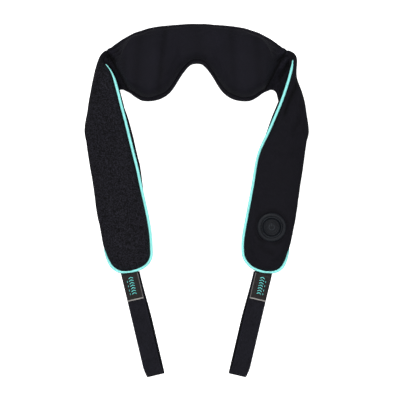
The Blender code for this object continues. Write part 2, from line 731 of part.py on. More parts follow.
def cell(a):
    """An 18650 cell lying along the arm."""
    x0, y0 = local(BATTERY, a, -32.5)
    x1, y1 = local(BATTERY, a, 32.5)
    return tube_data([(x0, y0, 12.2), (x1, y1, 12.2)], 9.1, 16)


make("inner_battery_cell", *mirror(cell(-9.5)), CELL)
make("outer_battery_cell", *mirror(cell(9.5)), CELL)
x, y = local(BATTERY, 0, 33.4)
make("battery_strip", *mirror(box_data((x, y, 12.2), (27, 0.5, 7), ARM_TURN)), STEEL, smooth=False)
x, y = local(BATTERY, 0, -38.5)
make("battery_board", *mirror(box_data((x, y, 12.2), (32, 6.5, 1.6), ARM_TURN)), BOARD)
x, y = local(BATTERY, 0, -4.2)
cut(foams["left"], "cut_battery_pocket", mirror(box_data((x, y, 15), (40, 78, 70), ARM_TURN)))

# ------------------------------------------------------------------ control unit, in the right arm
CX, CY = CONTROL


def turned(name, profile, mat, n=28, x=CX, y=CY):
    return make(name, *lathe_data(profile, n, (x, y, 0)), mat)


case = turned(
    "control_case",
    [(0, 3.6), (18.5, 3.6), (18.5, 21.4), (17.1, 21.4), (17.1, 5.2), (0, 5.2)],
    PLASTIC,
)
POSTS = [(CX + 12.6 * math.cos(a), CY + 12.6 * math.sin(a)) for a in np.radians([30, 150, 270])]
for k, (x, y) in enumerate(POSTS):
    cut(case, f"join_post_{k}", lathe_data([(0, 4.6), (2.8, 4.6), (2.8, 10.6), (0, 10.6)], 12, (x, y, 0)), "UNION")
    cut(case, f"cut_post_{k}", lathe_data([(0, 6.0), (1.4, 6.0), (1.4, 12), (0, 12)], 12, (x, y, 0)))
cut(case, "cut_port_way", lathe_data([(0, 0), (5.2, 0), (5.2, 8), (0, 8)], 20, (CX, CY, 0)))
board = turned("control_board", [(0, 11.0), (16.5, 11.0), (16.5, 12.6), (0, 12.6)], BOARD, 24)
for k, (x, y) in enumerate(POSTS):
    cut(board, f"cut_board_{k}", lathe_data([(0, 8), (1.5, 8), (1.5, 14), (0, 14)], 12, (x, y, 0)))
switch = make("tact_switch", *box_data((CX, CY, 14.6), (6.2, 6.2, 3.4)), PLASTIC, smooth=False)
cut(switch, "join_plunger", lathe_data([(0, 15), (1.7, 15), (1.7, 17.1), (0, 17.1)], 12, (CX, CY, 0)), "UNION")
turned(
    "control_bezel",
    [(17.5, 22.0), (18.4, 22.0), (18.4, 24.2), (21.4, 24.2), (22.0, 24.9), (21.2, 26.5), (19.4, 27.2), (17.5, 26.4)],
    PLASTIC,
    32,
)
turned(
    "power_button",
    [
        (0, 18.5),
        (3.0, 18.5),
        (3.0, 23.6),
        (16.4, 23.6),
        (16.9, 24.2),
        (16.9, 26.0),
        (15.4, 27.2),
        (12.6, 27.0),
        (11.2, 26.3),
        (9.6, 26.9),
        (5.0, 27.5),
        (0, 27.5),
    ],
    SOFT,
    32,
)
port = make("charging_port", *box_data((CX, CY, 6.25), (8.9, 3.2, 8.7)), STEEL, smooth=False)
cut(port, "cut_port_mouth", box_data((CX, CY, 3.0), (8.1, 2.4, 7.0)))
turned("port_grommet", [(5.0, 0.7), (6.6, 0.7), (6.6, 3.0), (5.0, 3.0)], SOFT, 20)
cut(backs["right"], "cut_port_hole", lathe_data([(0, -5), (7.1, -5), (7.1, 5), (0, 5)], 20, (CX, CY, 0)))
cut(fronts["right"], "cut_control_hole", lathe_data([(0, 15), (19.4, 15), (19.4, 40), (0, 40)], 24, (CX, CY, 0)))
cut(foams["right"], "cut_control_pocket", lathe_data([(0, -20), (20.2, -20), (20.2, 60), (0, 60)], 24, (CX, CY, 0)))

# ------------------------------------------------------------------ leads, all held inside the padding
LEAD_R = 1.25
for side, word in ((-1, "left"), (1, "right")):
    start = np.array([20.5 if side > 0 else 22.5, DRIVE_Y - 8.2, 9.0])
    lead = catmull(
        [
            (start[0], start[1], 9.4),
            (40, 236.6, 7.0),
            (56, 236.2, 6.6),
            (97, 236, 6.6),
            (108, 235.4, 5.6),
            (119, 229.5, 4.6),
            (131, 218.5, 4.2),
            (142, 206.0, 4.2),
        ],
        22,
    )
    if side < 0:
        lead = lead[6:]
    make(f"{word}_neck_lead", *sided(tube_data(lead, LEAD_R, 6), side), WIRE)
    way = lead[9 if side > 0 else 3 :]
    way = np.vstack([way, 2 * way[-1] - way[-2]])
    cut(neck_foam, f"cut_{word}_neck_lead_way", sided(tube_data(way, 2.3, 6), side))
    mid, hw, c, n, ht = arm_frames(word)
    stop = 9 if side < 0 else 13
    pts = np.array([mid[i] - n[i] * (ht[i] - CLOTH - 2.6 - LEAD_R) for i in range(2, stop)])
    if side > 0:
        pts[-1] = pts[-2] + (pts[-1] - pts[-2]) * 0.35
    else:
        pts = np.vstack([pts, [*local(BATTERY, 0, -44.0), 4.8]])
        pts = pts[: len(pts)]
    path = catmull(pts, 18)
    make(f"{word}_arm_lead", *sided(tube_data(path, LEAD_R, 6), side), WIRE)
    cut(foams[word], f"cut_{word}_lead_way", sided(tube_data(catmull(np.vstack([2 * pts[0] - pts[1], pts, 2 * pts[-1] - pts[-2]]), 20), 2.3, 6), side))

# ------------------------------------------------------------------ hand straps: one loop of webbing on each arm's end
STRAP_DIR = np.array([-0.2265, -0.974])
STRAP_ACROSS = np.array([0.974, -0.2265])
STRAP_START = np.array([106.2, -115.7])
STRAP_L = 168.0


def strap_point(a, b, z):
    xy = STRAP_START + STRAP_DIR * a + STRAP_ACROSS * b
    return (*xy, z)


def strap_data():
    """A hairpin of webbing: out along the top, folded at the end, back along the table."""
    t = WEBBING_T
    line = [(0, 8.6), (12, 8.3), (28, 7.8), (48, 7.5), (80, 7.4), (120, 7.4), (STRAP_L - 3.4, 7.4)]
    back = [(STRAP_L - 3.4, 0.7), (120, 0.7), (80, 0.7), (48, 0.7), (28, 1.6), (12, 4.6), (0, 6.8)]
    bend = [(STRAP_L - 3.4 + 3.35 * math.sin(a), 4.05 + 3.35 * math.cos(a)) for a in np.linspace(0.45, math.pi - 0.45, 5)]
    path = np.array(line + bend + back)
    d = np.gradient(path, axis=0)
    d /= np.linalg.norm(d, axis=1)[:, None]
    nrm = np.column_stack([-d[:, 1], d[:, 0]])
    grids = []
    for o in (0.5, -0.5):
        pts = path + nrm * t * o
        grids.append([[strap_point(a, b, z) for b in (-WEBBING_W / 2, WEBBING_W / 2)] for a, z in pts])
    return sheet_data(grids[0], grids[1])


LABEL_L, LABEL_W = 40.0, 27.0


def label_data():
    grids = []
    for lift, inset in ((0.0, 0.0), (1.5, 0.0), (1.9, 0.8)):
        grids.append((lift, inset))
    a0, a1 = 0.6, LABEL_L
    rows = []
    line = [(0.6, 9.7), (12, 9.4), (28, 8.95), (40, 8.75)]
    rings = []
    for k, (a, z) in enumerate(line):
        aa = a + (0.0 if k else 0.0)
        w = LABEL_W / 2
        rings.append(
            [
                strap_point(aa, -w, z + 0.05),
                strap_point(aa, w, z + 0.05),
                strap_point(aa, w, z + 1.3),
                strap_point(aa, w - 0.8, z + 1.8),
                strap_point(aa, -w + 0.8, z + 1.8),
                strap_point(aa, -w, z + 1.3),
            ]
        )
    return loft_data(rings)


for side, word in ((-1, "left"), (1, "right")):
    make(f"{word}_hand_strap", *sided(strap_data(), side), WEBBING)
    make(f"{word}_label", *sided(label_data(), side), LABEL, smooth=False)
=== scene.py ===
"""Looks of the neck massager: padded fabric panels, piping, webbing loops, labels and the control button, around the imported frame."""

import math

import bpy
import numpy as np
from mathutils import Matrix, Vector, noise


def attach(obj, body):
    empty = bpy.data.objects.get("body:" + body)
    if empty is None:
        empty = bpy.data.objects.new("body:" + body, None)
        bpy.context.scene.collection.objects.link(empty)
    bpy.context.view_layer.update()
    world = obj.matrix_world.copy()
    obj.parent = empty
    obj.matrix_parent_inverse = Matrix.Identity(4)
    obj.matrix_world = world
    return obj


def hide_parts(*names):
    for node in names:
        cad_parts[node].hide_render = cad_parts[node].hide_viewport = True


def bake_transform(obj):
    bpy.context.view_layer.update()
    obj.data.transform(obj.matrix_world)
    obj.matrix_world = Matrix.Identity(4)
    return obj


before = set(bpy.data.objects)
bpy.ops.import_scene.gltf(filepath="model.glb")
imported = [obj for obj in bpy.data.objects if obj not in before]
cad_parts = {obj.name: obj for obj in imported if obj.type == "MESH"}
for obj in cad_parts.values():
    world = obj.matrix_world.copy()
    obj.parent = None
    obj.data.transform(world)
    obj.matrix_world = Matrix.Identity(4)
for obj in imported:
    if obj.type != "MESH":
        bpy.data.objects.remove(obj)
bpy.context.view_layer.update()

# ------------------------------------------------------------------ the design's dimensions, in millimetres
POD_X, POD_Y = 79.0, 208.0
U = np.array([0.1772, -0.9842])  # along the fold line, from its top
N = np.array([0.9842, 0.1772])  # square to it, outwards
FOLD_START = np.array([147.0, 227.0])
AXIS_Z = 16.0
FOLD_R, LAYER_T = 8.5, 7.0
SEAM_IN = 5.5
PIPING_R, PIPING_OUT = 2.15, 2.6
NI, NO = 72, 60  # points across the neck side and the outer side of each ring
CONTROL = (119.0, -41.6)
STRAP_START = np.array([106.2, -115.7])
STRAP_DIR = np.array([-0.2265, -0.974])
STRAP_ACROSS = np.array([0.974, -0.2265])
STRAP_L = 168.0
NECK = [
    ((0, 282.7), (0, 219.1)), ((14, 282.5), (10, 216.7)), ((30, 281.1), (22, 203.0)), ((50, 279.5), (37, 179.0)),
    ((64, 277.7), (48, 167.8)), ((76, 275.5), (60, 161.7)), ((88, 271.8), (74, 159.0)), ((99, 268.4), (87, 159.9)),
    ((110, 263.1), (97, 165.4)), ((121, 257.2), (105, 171.1)), ((131, 251.4), (112, 173.8)),
    ((138, 246.0), (120, 176.8)), ((141, 243.9), (127, 173.0)), ((142.5, 243.0), (129.8, 163.0)),
    ((143.5, 242.2), (134.5, 151.0)),
]
FOLD_Q = (-14.4, 101.6)  # where the lower layer's two edges meet the fold line, and the upper layer's
FOLD_Q_TOP = {"right": (1.0, 134.0), "left": (8.0, 134.0)}
FOLD_LEAN = {"right": (5.8, 3.4), "left": (-1.2, 3.4)}  # how far each end of the upper layer leans out from the fold line
ARM_P = {
    "right": [(152.9, 226.8), (150.9, 211.6), (147.6, 198.9), (143.7, 185.4), (138.0, 168.2), (131.2, 149.8), (123.6, 131.9),
              (114.5, 110.8), (104.9, 90.7), (97.8, 72.4), (93.4, 50.5), (89.9, 28.3), (85.8, 5.8), (81.6, -16.5),
              (77.4, -38.7), (74.1, -58.7), (73.2, -74.9), (74.9, -89.3), (82.5, -101.2), (93.7, -108.9), (104.2, -112.3)],
    "left": [(146.6, 219.6), (138.7, 210.7), (132.2, 199.1), (127.4, 184.6), (123.0, 168.0), (118.6, 150.0), (114.0, 132.7),
             (109.7, 114.9), (104.5, 93.1), (99.1, 71.4), (93.8, 50.0), (89.3, 28.2), (84.4, 5.6), (79.4, -16.8),
             (75.2, -39.1), (72.7, -59.0), (72.0, -74.8), (71.9, -88.4), (77.4, -99.7), (88.8, -107.9), (102.6, -112.1)],
}
ARM_Q = {
    "right": [(173.9, 95.7), (173.7, 91.0), (173.0, 85.6), (172.1, 79.7), (171.4, 73.1), (170.7, 66.5), (169.6, 59.1),
              (168.6, 51.0), (167.5, 42.9), (165.8, 33.4), (163.5, 18.8), (160.9, 1.4), (158.5, -13.2), (155.9, -31.3),
              (152.3, -52.3), (149.0, -71.2), (144.7, -85.9), (142.0, -97.6), (136.2, -107.0), (126.3, -112.6),
              (115.1, -113.9)],
    "left": [(174.7, 95.7), (174.6, 91.6), (173.9, 87.0), (172.9, 81.4), (172.2, 75.5), (171.4, 69.5), (170.5, 62.9),
             (169.4, 54.9), (167.8, 45.9), (165.6, 33.6), (163.2, 19.0), (160.9, 2.4), (158.5, -13.2), (155.4, -31.3),
             (151.8, -51.2), (148.8, -71.1), (144.4, -85.7), (141.0, -96.8), (135.0, -105.9), (125.9, -111.9),
             (115.4, -113.6)],
}
#       thickness, height of the piping side, height of the outer side
SECTION = [(14.0, 24.5, 24.5), (14.0, 25.0, 24.0), (14.2, 25.6, 23.4), (14.6, 26.0, 22.4), (15.4, 25.8, 20.6), (16.8, 24.4, 18.6),
           (18.4, 21.6, 16.4), (20.2, 18.4, 14.4), (21.6, 15.6, 12.8), (22.6, 13.8, 12.2), (23.0, 12.8, 12.0), (23.0, 12.6, 12.0),
           (23.0, 12.6, 12.0), (23.0, 12.6, 12.0), (23.0, 12.6, 12.0), (23.0, 12.4, 11.9), (22.0, 12.0, 11.5), (19.6, 11.4, 11.0),
           (16.4, 10.8, 10.6), (12.4, 10.0, 10.0), (8.0, 9.6, 9.6)]


def smooth(x):
    x = np.clip(x, 0, 1)
    return x * x * (3 - 2 * x)


def catmull(rows, at):
    """The rows' values at fractional indices, on a smooth curve through every row."""
    rows = np.asarray(rows, float)
    at = np.clip(np.asarray(at, float), 0, len(rows) - 1)
    i = np.minimum(at.astype(int), len(rows) - 2)
    t = (at - i)[:, None]
    g = lambda k: rows[np.clip(k, 0, len(rows) - 1)]
    a, b, c, d = g(i - 1), g(i), g(i + 1), g(i + 2)
    return 0.5 * (2 * b + (c - a) * t + (2 * a - 5 * b + 4 * c - d) * t**2 + (3 * b - a - 3 * c + d) * t**3)


def even_indices(rows, step):
    """Fractional indices along the rows, about step apart in distance."""
    fine = np.linspace(0, len(rows) - 1, 40 * len(rows))
    pts = catmull(rows, fine)
    s = np.concatenate([[0], np.cumsum(np.linalg.norm(np.diff(pts, axis=0), axis=1))])
    return np.interp(np.linspace(0, s[-1], max(2, int(round(s[-1] / step)) + 1)), s, fine)


def resample(pts, count):
    pts = np.asarray(pts, float)
    s = np.concatenate([[0], np.cumsum(np.linalg.norm(np.diff(pts, axis=0), axis=1))])
    at = np.linspace(0, s[-1], count)
    return np.column_stack([np.interp(at, s, pts[:, k]) for k in range(3)])


# ------------------------------------------------------------------ rings: each runs P seam, neck side, Q seam, outer side, P seam
def section_ring(place, ht, psi_p, psi_q, power=2.8):
    """place(x, b) gives the point at x in -1..1 from Q to P and b above the middle towards the neck side."""
    def part(a0, a1, count):
        out = []
        for f in np.linspace(a0, a1, 90):
            c, s = math.cos(f), math.sin(f)
            out.append(place(math.copysign(abs(c) ** (2 / power), c), ht * math.copysign(abs(s) ** (2 / power), s)))
        return resample(out, count + 1)

    return np.vstack([part(psi_p, psi_q, NI), part(psi_q, 2 * math.pi + psi_p, NO)[1:-1]])


def crown(x, y):
    ax = np.abs(x)
    r = np.hypot(ax - POD_X, y - POD_Y)
    band = 39.0 - 4.5 * smooth((ax - 50) / 40) - 20.2 * smooth((ax - 96) / 34)
    low = 1 - smooth((ax - 88) / 34)
    dome = 53.2 - 15.5 * smooth((r - 18) / 50)
    return band + np.maximum(dome - band, 0) * np.where(r < 40, 1, np.minimum(low + smooth((62 - r) / 22), 1))


def edge_distance(points, edge):
    best = np.full(len(points), 1e9)
    for a, b in zip(edge[:-1], edge[1:]):
        d = b - a
        t = np.clip(((points - a) @ d) / max(d @ d, 1e-9), 0, 1)
        best = np.minimum(best, np.linalg.norm(points - (a + t[:, None] * d), axis=1))
    return best


# how far the lining stands out beyond the middle of the piping, at each station of the arm
FRINGE = {
    "left": [0, 1.5, 2.8, 3.8, 4.4, 4.6, 5.6, 6.2, 6.4, 5.8, 5.0, 3.4, 1.0, 0, 0, 0, 0, 0, 0, 0, 0],
    "right": [0, 1.0, 2.2, 3.8, 5.2, 5.9, 5.6, 3.0, 0.4, 0, 0, 0, 0, 0, 0, 0, 0, 0, 0, 0, 0],
}


def fringe_at(i, word):
    return np.interp(i, np.arange(21), FRINGE[word])


def fold_point(q, d=0.0):
    return FOLD_START + U * q + N * d


NECK_ALL = np.array([np.concatenate(s) for s in NECK] + [np.concatenate([fold_point(FOLD_Q[0]), fold_point(FOLD_Q[1])])], float)
_fine = catmull(NECK_ALL, np.linspace(0, len(NECK_ALL) - 1, 160))
EDGES = [np.vstack([_fine[::-1, c : c + 2] * [-1, 1], _fine[:, c : c + 2]]) for c in (0, 2)]


def neck_ring(a, b):
    """The section over one station of the neck pad, from its top edge a to its bottom edge b."""
    d = (b - a) / np.linalg.norm(b - a)
    ln = np.linalg.norm(b - a)
    x = (a[0] + b[0]) / 2
    zs = 21.5 - 8.0 * smooth((abs(x) - 84) / 40)
    t = np.linspace(0, 1, 110)
    xy = (a + d * SEAM_IN) + t[:, None] * d * (ln - 2 * SEAM_IN)
    e = np.minimum(edge_distance(xy, EDGES[0]), edge_distance(xy, EDGES[1])) - SEAM_IN + 0.4
    e = np.clip(e, 0, None)
    e[0] = e[-1] = 0
    rise = (1 - (1 - np.minimum(e / 15.0, 1)) ** 2.3) ** (1 / 2.3)
    top = np.maximum(crown(xy[:, 0], xy[:, 1]), zs + 0.6)
    front = np.column_stack([xy, zs + (top - zs) * rise])
    wall = [(SEAM_IN, zs), (3.6, zs + 0.1), (1.6, zs * 0.9), (0.4, zs * 0.7), (0.0, zs * 0.45), (0.5, zs * 0.2), (1.8, zs * 0.05 + 0.2), (4.2, 0.25)]
    wall = catmull(np.array(wall), np.linspace(0, len(wall) - 1, 40))
    back = [(*(b - d * w), z) for w, z in wall] + [(*(a + d * w), z) for w, z in wall[::-1]]
    return resample(front, NI + 1), resample(back, NO + 1)


def layer_ring(a, b, z, ht):
    """The thin lower layer at the fold: one rounded section, neck side up."""
    m, h = (a + b) / 2, (a - b) / 2
    ring = section_ring(lambda x, w: np.array([*(m + h * x), z + w]), ht, 0.0, math.pi)
    return ring[: NI + 1], np.vstack([ring[NI:], ring[:1]])


def chain(word):
    """All rings of one half, from the middle of the neck to the arm's end, on the +X side. Returns rings and where each part starts."""
    at = even_indices(NECK_ALL[:, :2] * 0.5 + NECK_ALL[:, 2:] * 0.5, 2.9)
    rings = []
    for row in catmull(NECK_ALL, at):
        a, b = row[:2], row[2:]
        x = (a[0] + b[0]) / 2
        w = float(smooth((x - 108) / 30.0))
        front, back = neck_ring(a, b)
        f2, b2 = layer_ring(a, b, 7.5, LAYER_T)
        front, back = front * (1 - w) + f2 * w, back * (1 - w) + b2 * w
        rings.append(np.vstack([front, back[1:-1]]))
    fold_at = len(rings) - 1
    # round the fold
    top, lean = FOLD_Q_TOP[word], FOLD_LEAN[word]
    bulge_q = [-20, 3.8, 20, 35, 52, 69, 85, 101, 130]
    bulge = [0, -0.2, -3.5, -5.8, -1.6, 1.1, 1.4, 0, 0] if word == "right" else [0] * 9
    for th in np.linspace(0, math.pi, 15)[1:]:
        k = th / math.pi
        q0 = FOLD_Q[0] + (top[0] - FOLD_Q[0]) * smooth(k)
        q1 = FOLD_Q[1] + (top[1] - FOLD_Q[1]) * smooth(k)
        s, c = math.sin(th), math.cos(th)

        def place(x, w, q0=q0, q1=q1, s=s, c=c, k=k):
            q = (q0 + q1) / 2 + (q0 - q1) / 2 * x
            perp = 6.3 * s + float(np.interp(q, bulge_q, bulge)) * s - w * s + k * (lean[1] * float(smooth((-x - 0.45) / 0.55)) + lean[0] * float(smooth((x - 0.45) / 0.55)))
            return np.array([*fold_point(q, perp), AXIS_Z - FOLD_R * c + w * c])

        psi = arm_seams(0.0)
        rings.append(section_ring(place, LAYER_T, psi[0] * k, math.pi + (psi[1] - math.pi) * k))
    arm_at = len(rings) - 1
    # along the arm
    rows = np.column_stack([ARM_P[word], ARM_Q[word], np.array(SECTION)])
    idx = even_indices((rows[:, :2] + rows[:, 2:4]) / 2, 2.9)
    rows = catmull(rows, idx)
    p, q = rows[:, :2], rows[:, 2:4]
    t = np.gradient((p + q) / 2, axis=0)
    nrm = np.gradient(p, axis=0)
    nrm = np.column_stack([nrm[:, 1], -nrm[:, 0]])
    nrm /= np.linalg.norm(nrm, axis=1)[:, None]
    flip = np.sign(np.sum(nrm * (p - q), axis=1))
    pn = nrm * flip[:, None]
    ease = smooth(np.arange(len(p)) / 10.0)[:, None]
    p_in = p - pn * 1.3 * ease
    for i in range(1, len(rows)):
        share = float(smooth((idx[i] - 13.5) / 4.5))
        qd = (p[i] - q[i]) / np.linalg.norm(p[i] - q[i])
        q_in = q[i] + qd * (PIPING_OUT * share - 0.9 * (1 - share))
        P3, Q3 = np.array([*p_in[i], rows[i, 5]]), np.array([*q_in, rows[i, 6]])
        m, h = (P3 + Q3) / 2, (P3 - Q3) / 2
        tt = np.array([*t[i], 0.0])
        n = np.cross(h, tt)
        n /= np.linalg.norm(n)
        if n[2] > 0:
            n = -n
        psi = arm_seams(idx[i], word)
        ring = section_ring(lambda x, w: m + h * x + n * w, rows[i, 4] / 2, *psi)
        out = float(fringe_at(idx[i], word))
        amount = (out + 1.3) * float(smooth(out / 1.6))
        j = np.arange(NI + 1)
        ring[: NI + 1] += (h / np.linalg.norm(h))[None, :] * (amount * smooth(j / 3.5) * (1 - smooth((j - 5) / 14.0)))[:, None]
        rings.append(ring)
    return np.array(rings), fold_at, arm_at, idx, p


def arm_seams(i, word="right"):
    """Angles of the two seams round the section at station i: the piping side, a little above the middle, and the outer side, underneath until the end."""
    share = float(smooth((i - 13.5) / 4.5))
    fringe = float(smooth(fringe_at(i, word) / 3.5))
    end = float(smooth((i - 15.0) / 3.0))
    return -0.16 - 0.26 * fringe - 0.2 * end, math.pi - 0.9 * (1 - share) + 0.34 * end


def normals_of(grid):
    """Unit normals of a grid closed round its second index."""
    du = np.gradient(grid, axis=0)
    dv = np.roll(grid, -1, axis=1) - np.roll(grid, 1, axis=1)
    n = np.cross(du, dv)
    return n / np.maximum(np.linalg.norm(n, axis=2), 1e-9)[:, :, None]


def noise_at(points, scale, seed=0.0):
    return np.array([noise.noise(Vector((p[0] / scale + seed, p[1] / scale - seed, p[2] / scale + 0.5 * seed))) for p in points])


# ------------------------------------------------------------------ meshes
def to_object(name, verts, faces, mats, uv=None, mat_index=None, smooth_shade=True):
    mesh = bpy.data.meshes.new(name)
    mesh.from_pydata([tuple(v) for v in np.asarray(verts) / 1000.0], [], [tuple(int(i) for i in f) for f in faces])
    for m in mats:
        mesh.materials.append(m)
    if uv is not None:
        layer = mesh.uv_layers.new(name="UVMap")
        loops = np.zeros(len(mesh.loops), np.int32)
        mesh.loops.foreach_get("vertex_index", loops)
        layer.data.foreach_set("uv", (np.asarray(uv) / 1000.0)[loops].ravel())
    if mat_index is not None:
        mesh.polygons.foreach_set("material_index", np.asarray(mat_index, np.int32))
    mesh.polygons.foreach_set("use_smooth", [smooth_shade] * len(mesh.polygons))
    mesh.validate()
    mesh.update()
    obj = bpy.data.objects.new(name, mesh)
    bpy.context.scene.collection.objects.link(obj)
    return obj


def shell(name, outer, nrm, painted_shade, mat, thick=0.9, mirror=False, opening=None):
    """A fabric panel with real thickness: the outer surface, its inner copy and the edges between them, closed all round."""
    n, m = outer.shape[:2]
    inner = outer - nrm * thick
    verts = np.vstack([outer.reshape(-1, 3), inner.reshape(-1, 3)])
    su = np.concatenate([[0], np.cumsum(np.linalg.norm(np.diff(outer[:, m // 2], axis=0), axis=1))])
    sv = np.zeros((n, m))
    sv[:, 1:] = np.cumsum(np.linalg.norm(np.diff(outer, axis=1), axis=2), axis=1)
    sv -= sv[:, m // 2][:, None]
    uv = np.column_stack([np.repeat(su, m), sv.ravel()])
    uv = np.vstack([uv, uv])
    k = n * m
    at = lambda i, j: i * m + j
    faces = []
    gone = np.zeros((n + 1, m + 1), bool)  # quads left out, with a border of kept ones all round
    if opening is not None:
        centre, radius = opening
        out = np.hypot(outer[:, :, 0] - centre[0], outer[:, :, 1] - centre[1]) < radius
        gone[1:n, 1:m] = out[:-1, :-1] & out[1:, :-1] & out[1:, 1:] & out[:-1, 1:]
    for i in range(n - 1):
        for j in range(m - 1):
            if gone[i + 1, j + 1]:
                continue
            faces.append((at(i, j), at(i + 1, j), at(i + 1, j + 1), at(i, j + 1)))
            faces.append((k + at(i, j), k + at(i, j + 1), k + at(i + 1, j + 1), k + at(i + 1, j)))
            for beside, a, b in ((gone[i + 1, j], at(i, j), at(i + 1, j)), (gone[i + 2, j + 1], at(i + 1, j), at(i + 1, j + 1)), (gone[i + 1, j + 2], at(i + 1, j + 1), at(i, j + 1)), (gone[i, j + 1], at(i, j + 1), at(i, j))):
                if beside:
                    faces.append((b, a, k + a, k + b))
    for i in range(n - 1):
        faces.append((at(i, 0), k + at(i, 0), k + at(i + 1, 0), at(i + 1, 0)))
        faces.append((at(i, m - 1), at(i + 1, m - 1), k + at(i + 1, m - 1), k + at(i, m - 1)))
    for j in range(m - 1):
        faces.append((at(0, j), at(0, j + 1), k + at(0, j + 1), k + at(0, j)))
        faces.append((at(n - 1, j), k + at(n - 1, j), k + at(n - 1, j + 1), at(n - 1, j + 1)))
    normals = np.vstack([nrm.reshape(-1, 3), -nrm.reshape(-1, 3)])
    if mirror:
        verts = verts * [-1, 1, 1]
        normals = normals * [-1, 1, 1]
        faces = [f[::-1] for f in faces]
    # outward means along the given normals
    f0 = faces[0]
    a, b, c = (verts[f0[i]] for i in range(3))
    if np.cross(b - a, c - a) @ normals[f0[0]] < 0:
        faces = [f[::-1] for f in faces]
    # painted shade per point, darker in creases and seams and lighter on ridges, on both faces
    painted_tones = np.concatenate([painted_shade.ravel(), painted_shade.ravel()])
    if opening is not None:
        kept = np.unique(np.concatenate([np.asarray(f) for f in faces]))
        new = np.full(len(verts), -1)
        new[kept] = np.arange(len(kept))
        faces = [tuple(new[list(f)]) for f in faces]
        verts, uv, normals, painted_tones = verts[kept], uv[kept], normals[kept], painted_tones[kept]
    obj = to_object(name, verts, faces, [mat], uv)
    obj.data.normals_split_custom_set_from_vertices([tuple(v) for v in normals])
    shade = obj.data.attributes.new("Depth", "FLOAT", "POINT")
    shade.data.foreach_set("value", painted_tones.astype(np.float32))
    return obj


def tube(name, path, r, mat, sides=14, closed_ends=True, squash=1.0, radii=None):
    path = np.asarray(path, float)
    t = np.gradient(path, axis=0)
    t /= np.linalg.norm(t, axis=1)[:, None]
    up = np.array([0, 0, 1.0])
    s = np.cross(t, up)
    bad = np.linalg.norm(s, axis=1) < 0.2
    s[bad] = np.array([1.0, 0, 0])
    s /= np.linalg.norm(s, axis=1)[:, None]
    v = np.cross(s, t)
    v /= np.linalg.norm(v, axis=1)[:, None]
    ang = np.linspace(0, 2 * math.pi, sides, endpoint=False)
    radii = np.ones(len(path)) if radii is None else np.asarray(radii, float)
    grid = path[:, None] + r * radii[:, None, None] * (s[:, None] * np.cos(ang)[None, :, None] + squash * v[:, None] * np.sin(ang)[None, :, None])
    n = len(path)
    verts = grid.reshape(-1, 3)
    faces = [(i * sides + j, i * sides + (j + 1) % sides, (i + 1) * sides + (j + 1) % sides, (i + 1) * sides + j) for i in range(n - 1) for j in range(sides)]
    su = np.concatenate([[0], np.cumsum(np.linalg.norm(np.diff(path, axis=0), axis=1))])
    uv = np.column_stack([np.repeat(su, sides), np.tile(ang * r, n)])
    if closed_ends:
        verts = np.vstack([verts, path[0] - t[0] * r * 0.5, path[-1] + t[-1] * r * 0.5])
        uv = np.vstack([uv, [0, 0], [su[-1], 0]])
        k = n * sides
        faces += [(k, (j + 1) % sides, j) for j in range(sides)]
        faces += [(k + 1, (n - 1) * sides + j, (n - 1) * sides + (j + 1) % sides) for j in range(sides)]
    obj = to_object(name, verts, faces, [mat], uv)
    fix_outward(obj)
    return obj


def fix_outward(obj):
    mesh = obj.data
    mesh.calc_loop_triangles()
    co = np.zeros(len(mesh.vertices) * 3)
    mesh.vertices.foreach_get("co", co)
    co = co.reshape(-1, 3)
    tri = np.array([t.vertices[:] for t in mesh.loop_triangles])
    vol = np.sum(np.cross(co[tri[:, 0]], co[tri[:, 1]]) * co[tri[:, 2]])
    if vol < 0:
        mesh.flip_normals()
    mesh.update()


def lathe(name, profile, centre, mat, sides=96, tilt=None):
    """A turned piece; the profile is a closed loop of (radius, height), so the result is closed too."""
    ang = np.linspace(0, 2 * math.pi, sides, endpoint=False)
    verts, index, faces = [], [], []
    for r, z in profile:
        if r < 1e-6:
            index.append([len(verts)] * sides)
            verts.append((centre[0], centre[1], z))
        else:
            index.append(list(range(len(verts), len(verts) + sides)))
            verts += [(centre[0] + r * math.cos(a), centre[1] + r * math.sin(a), z) for a in ang]
    loops = len(profile)
    last = loops if profile[0][0] > 1e-6 or profile[-1][0] > 1e-6 else loops - 1
    for k in range(last):
        a, b = index[k], index[(k + 1) % loops]
        for j in range(sides):
            f = [a[j], a[(j + 1) % sides], b[(j + 1) % sides], b[j]]
            f = [v for i, v in enumerate(f) if v not in f[:i]]
            if len(f) > 2:
                faces.append(f)
    v = np.array(verts)
    uv = (v[:, :2] - np.array(centre)[None, :])
    obj = to_object(name, v, faces, [mat], uv)
    fix_outward(obj)
    obj.data.set_sharp_from_angle(angle=math.radians(50))
    return obj


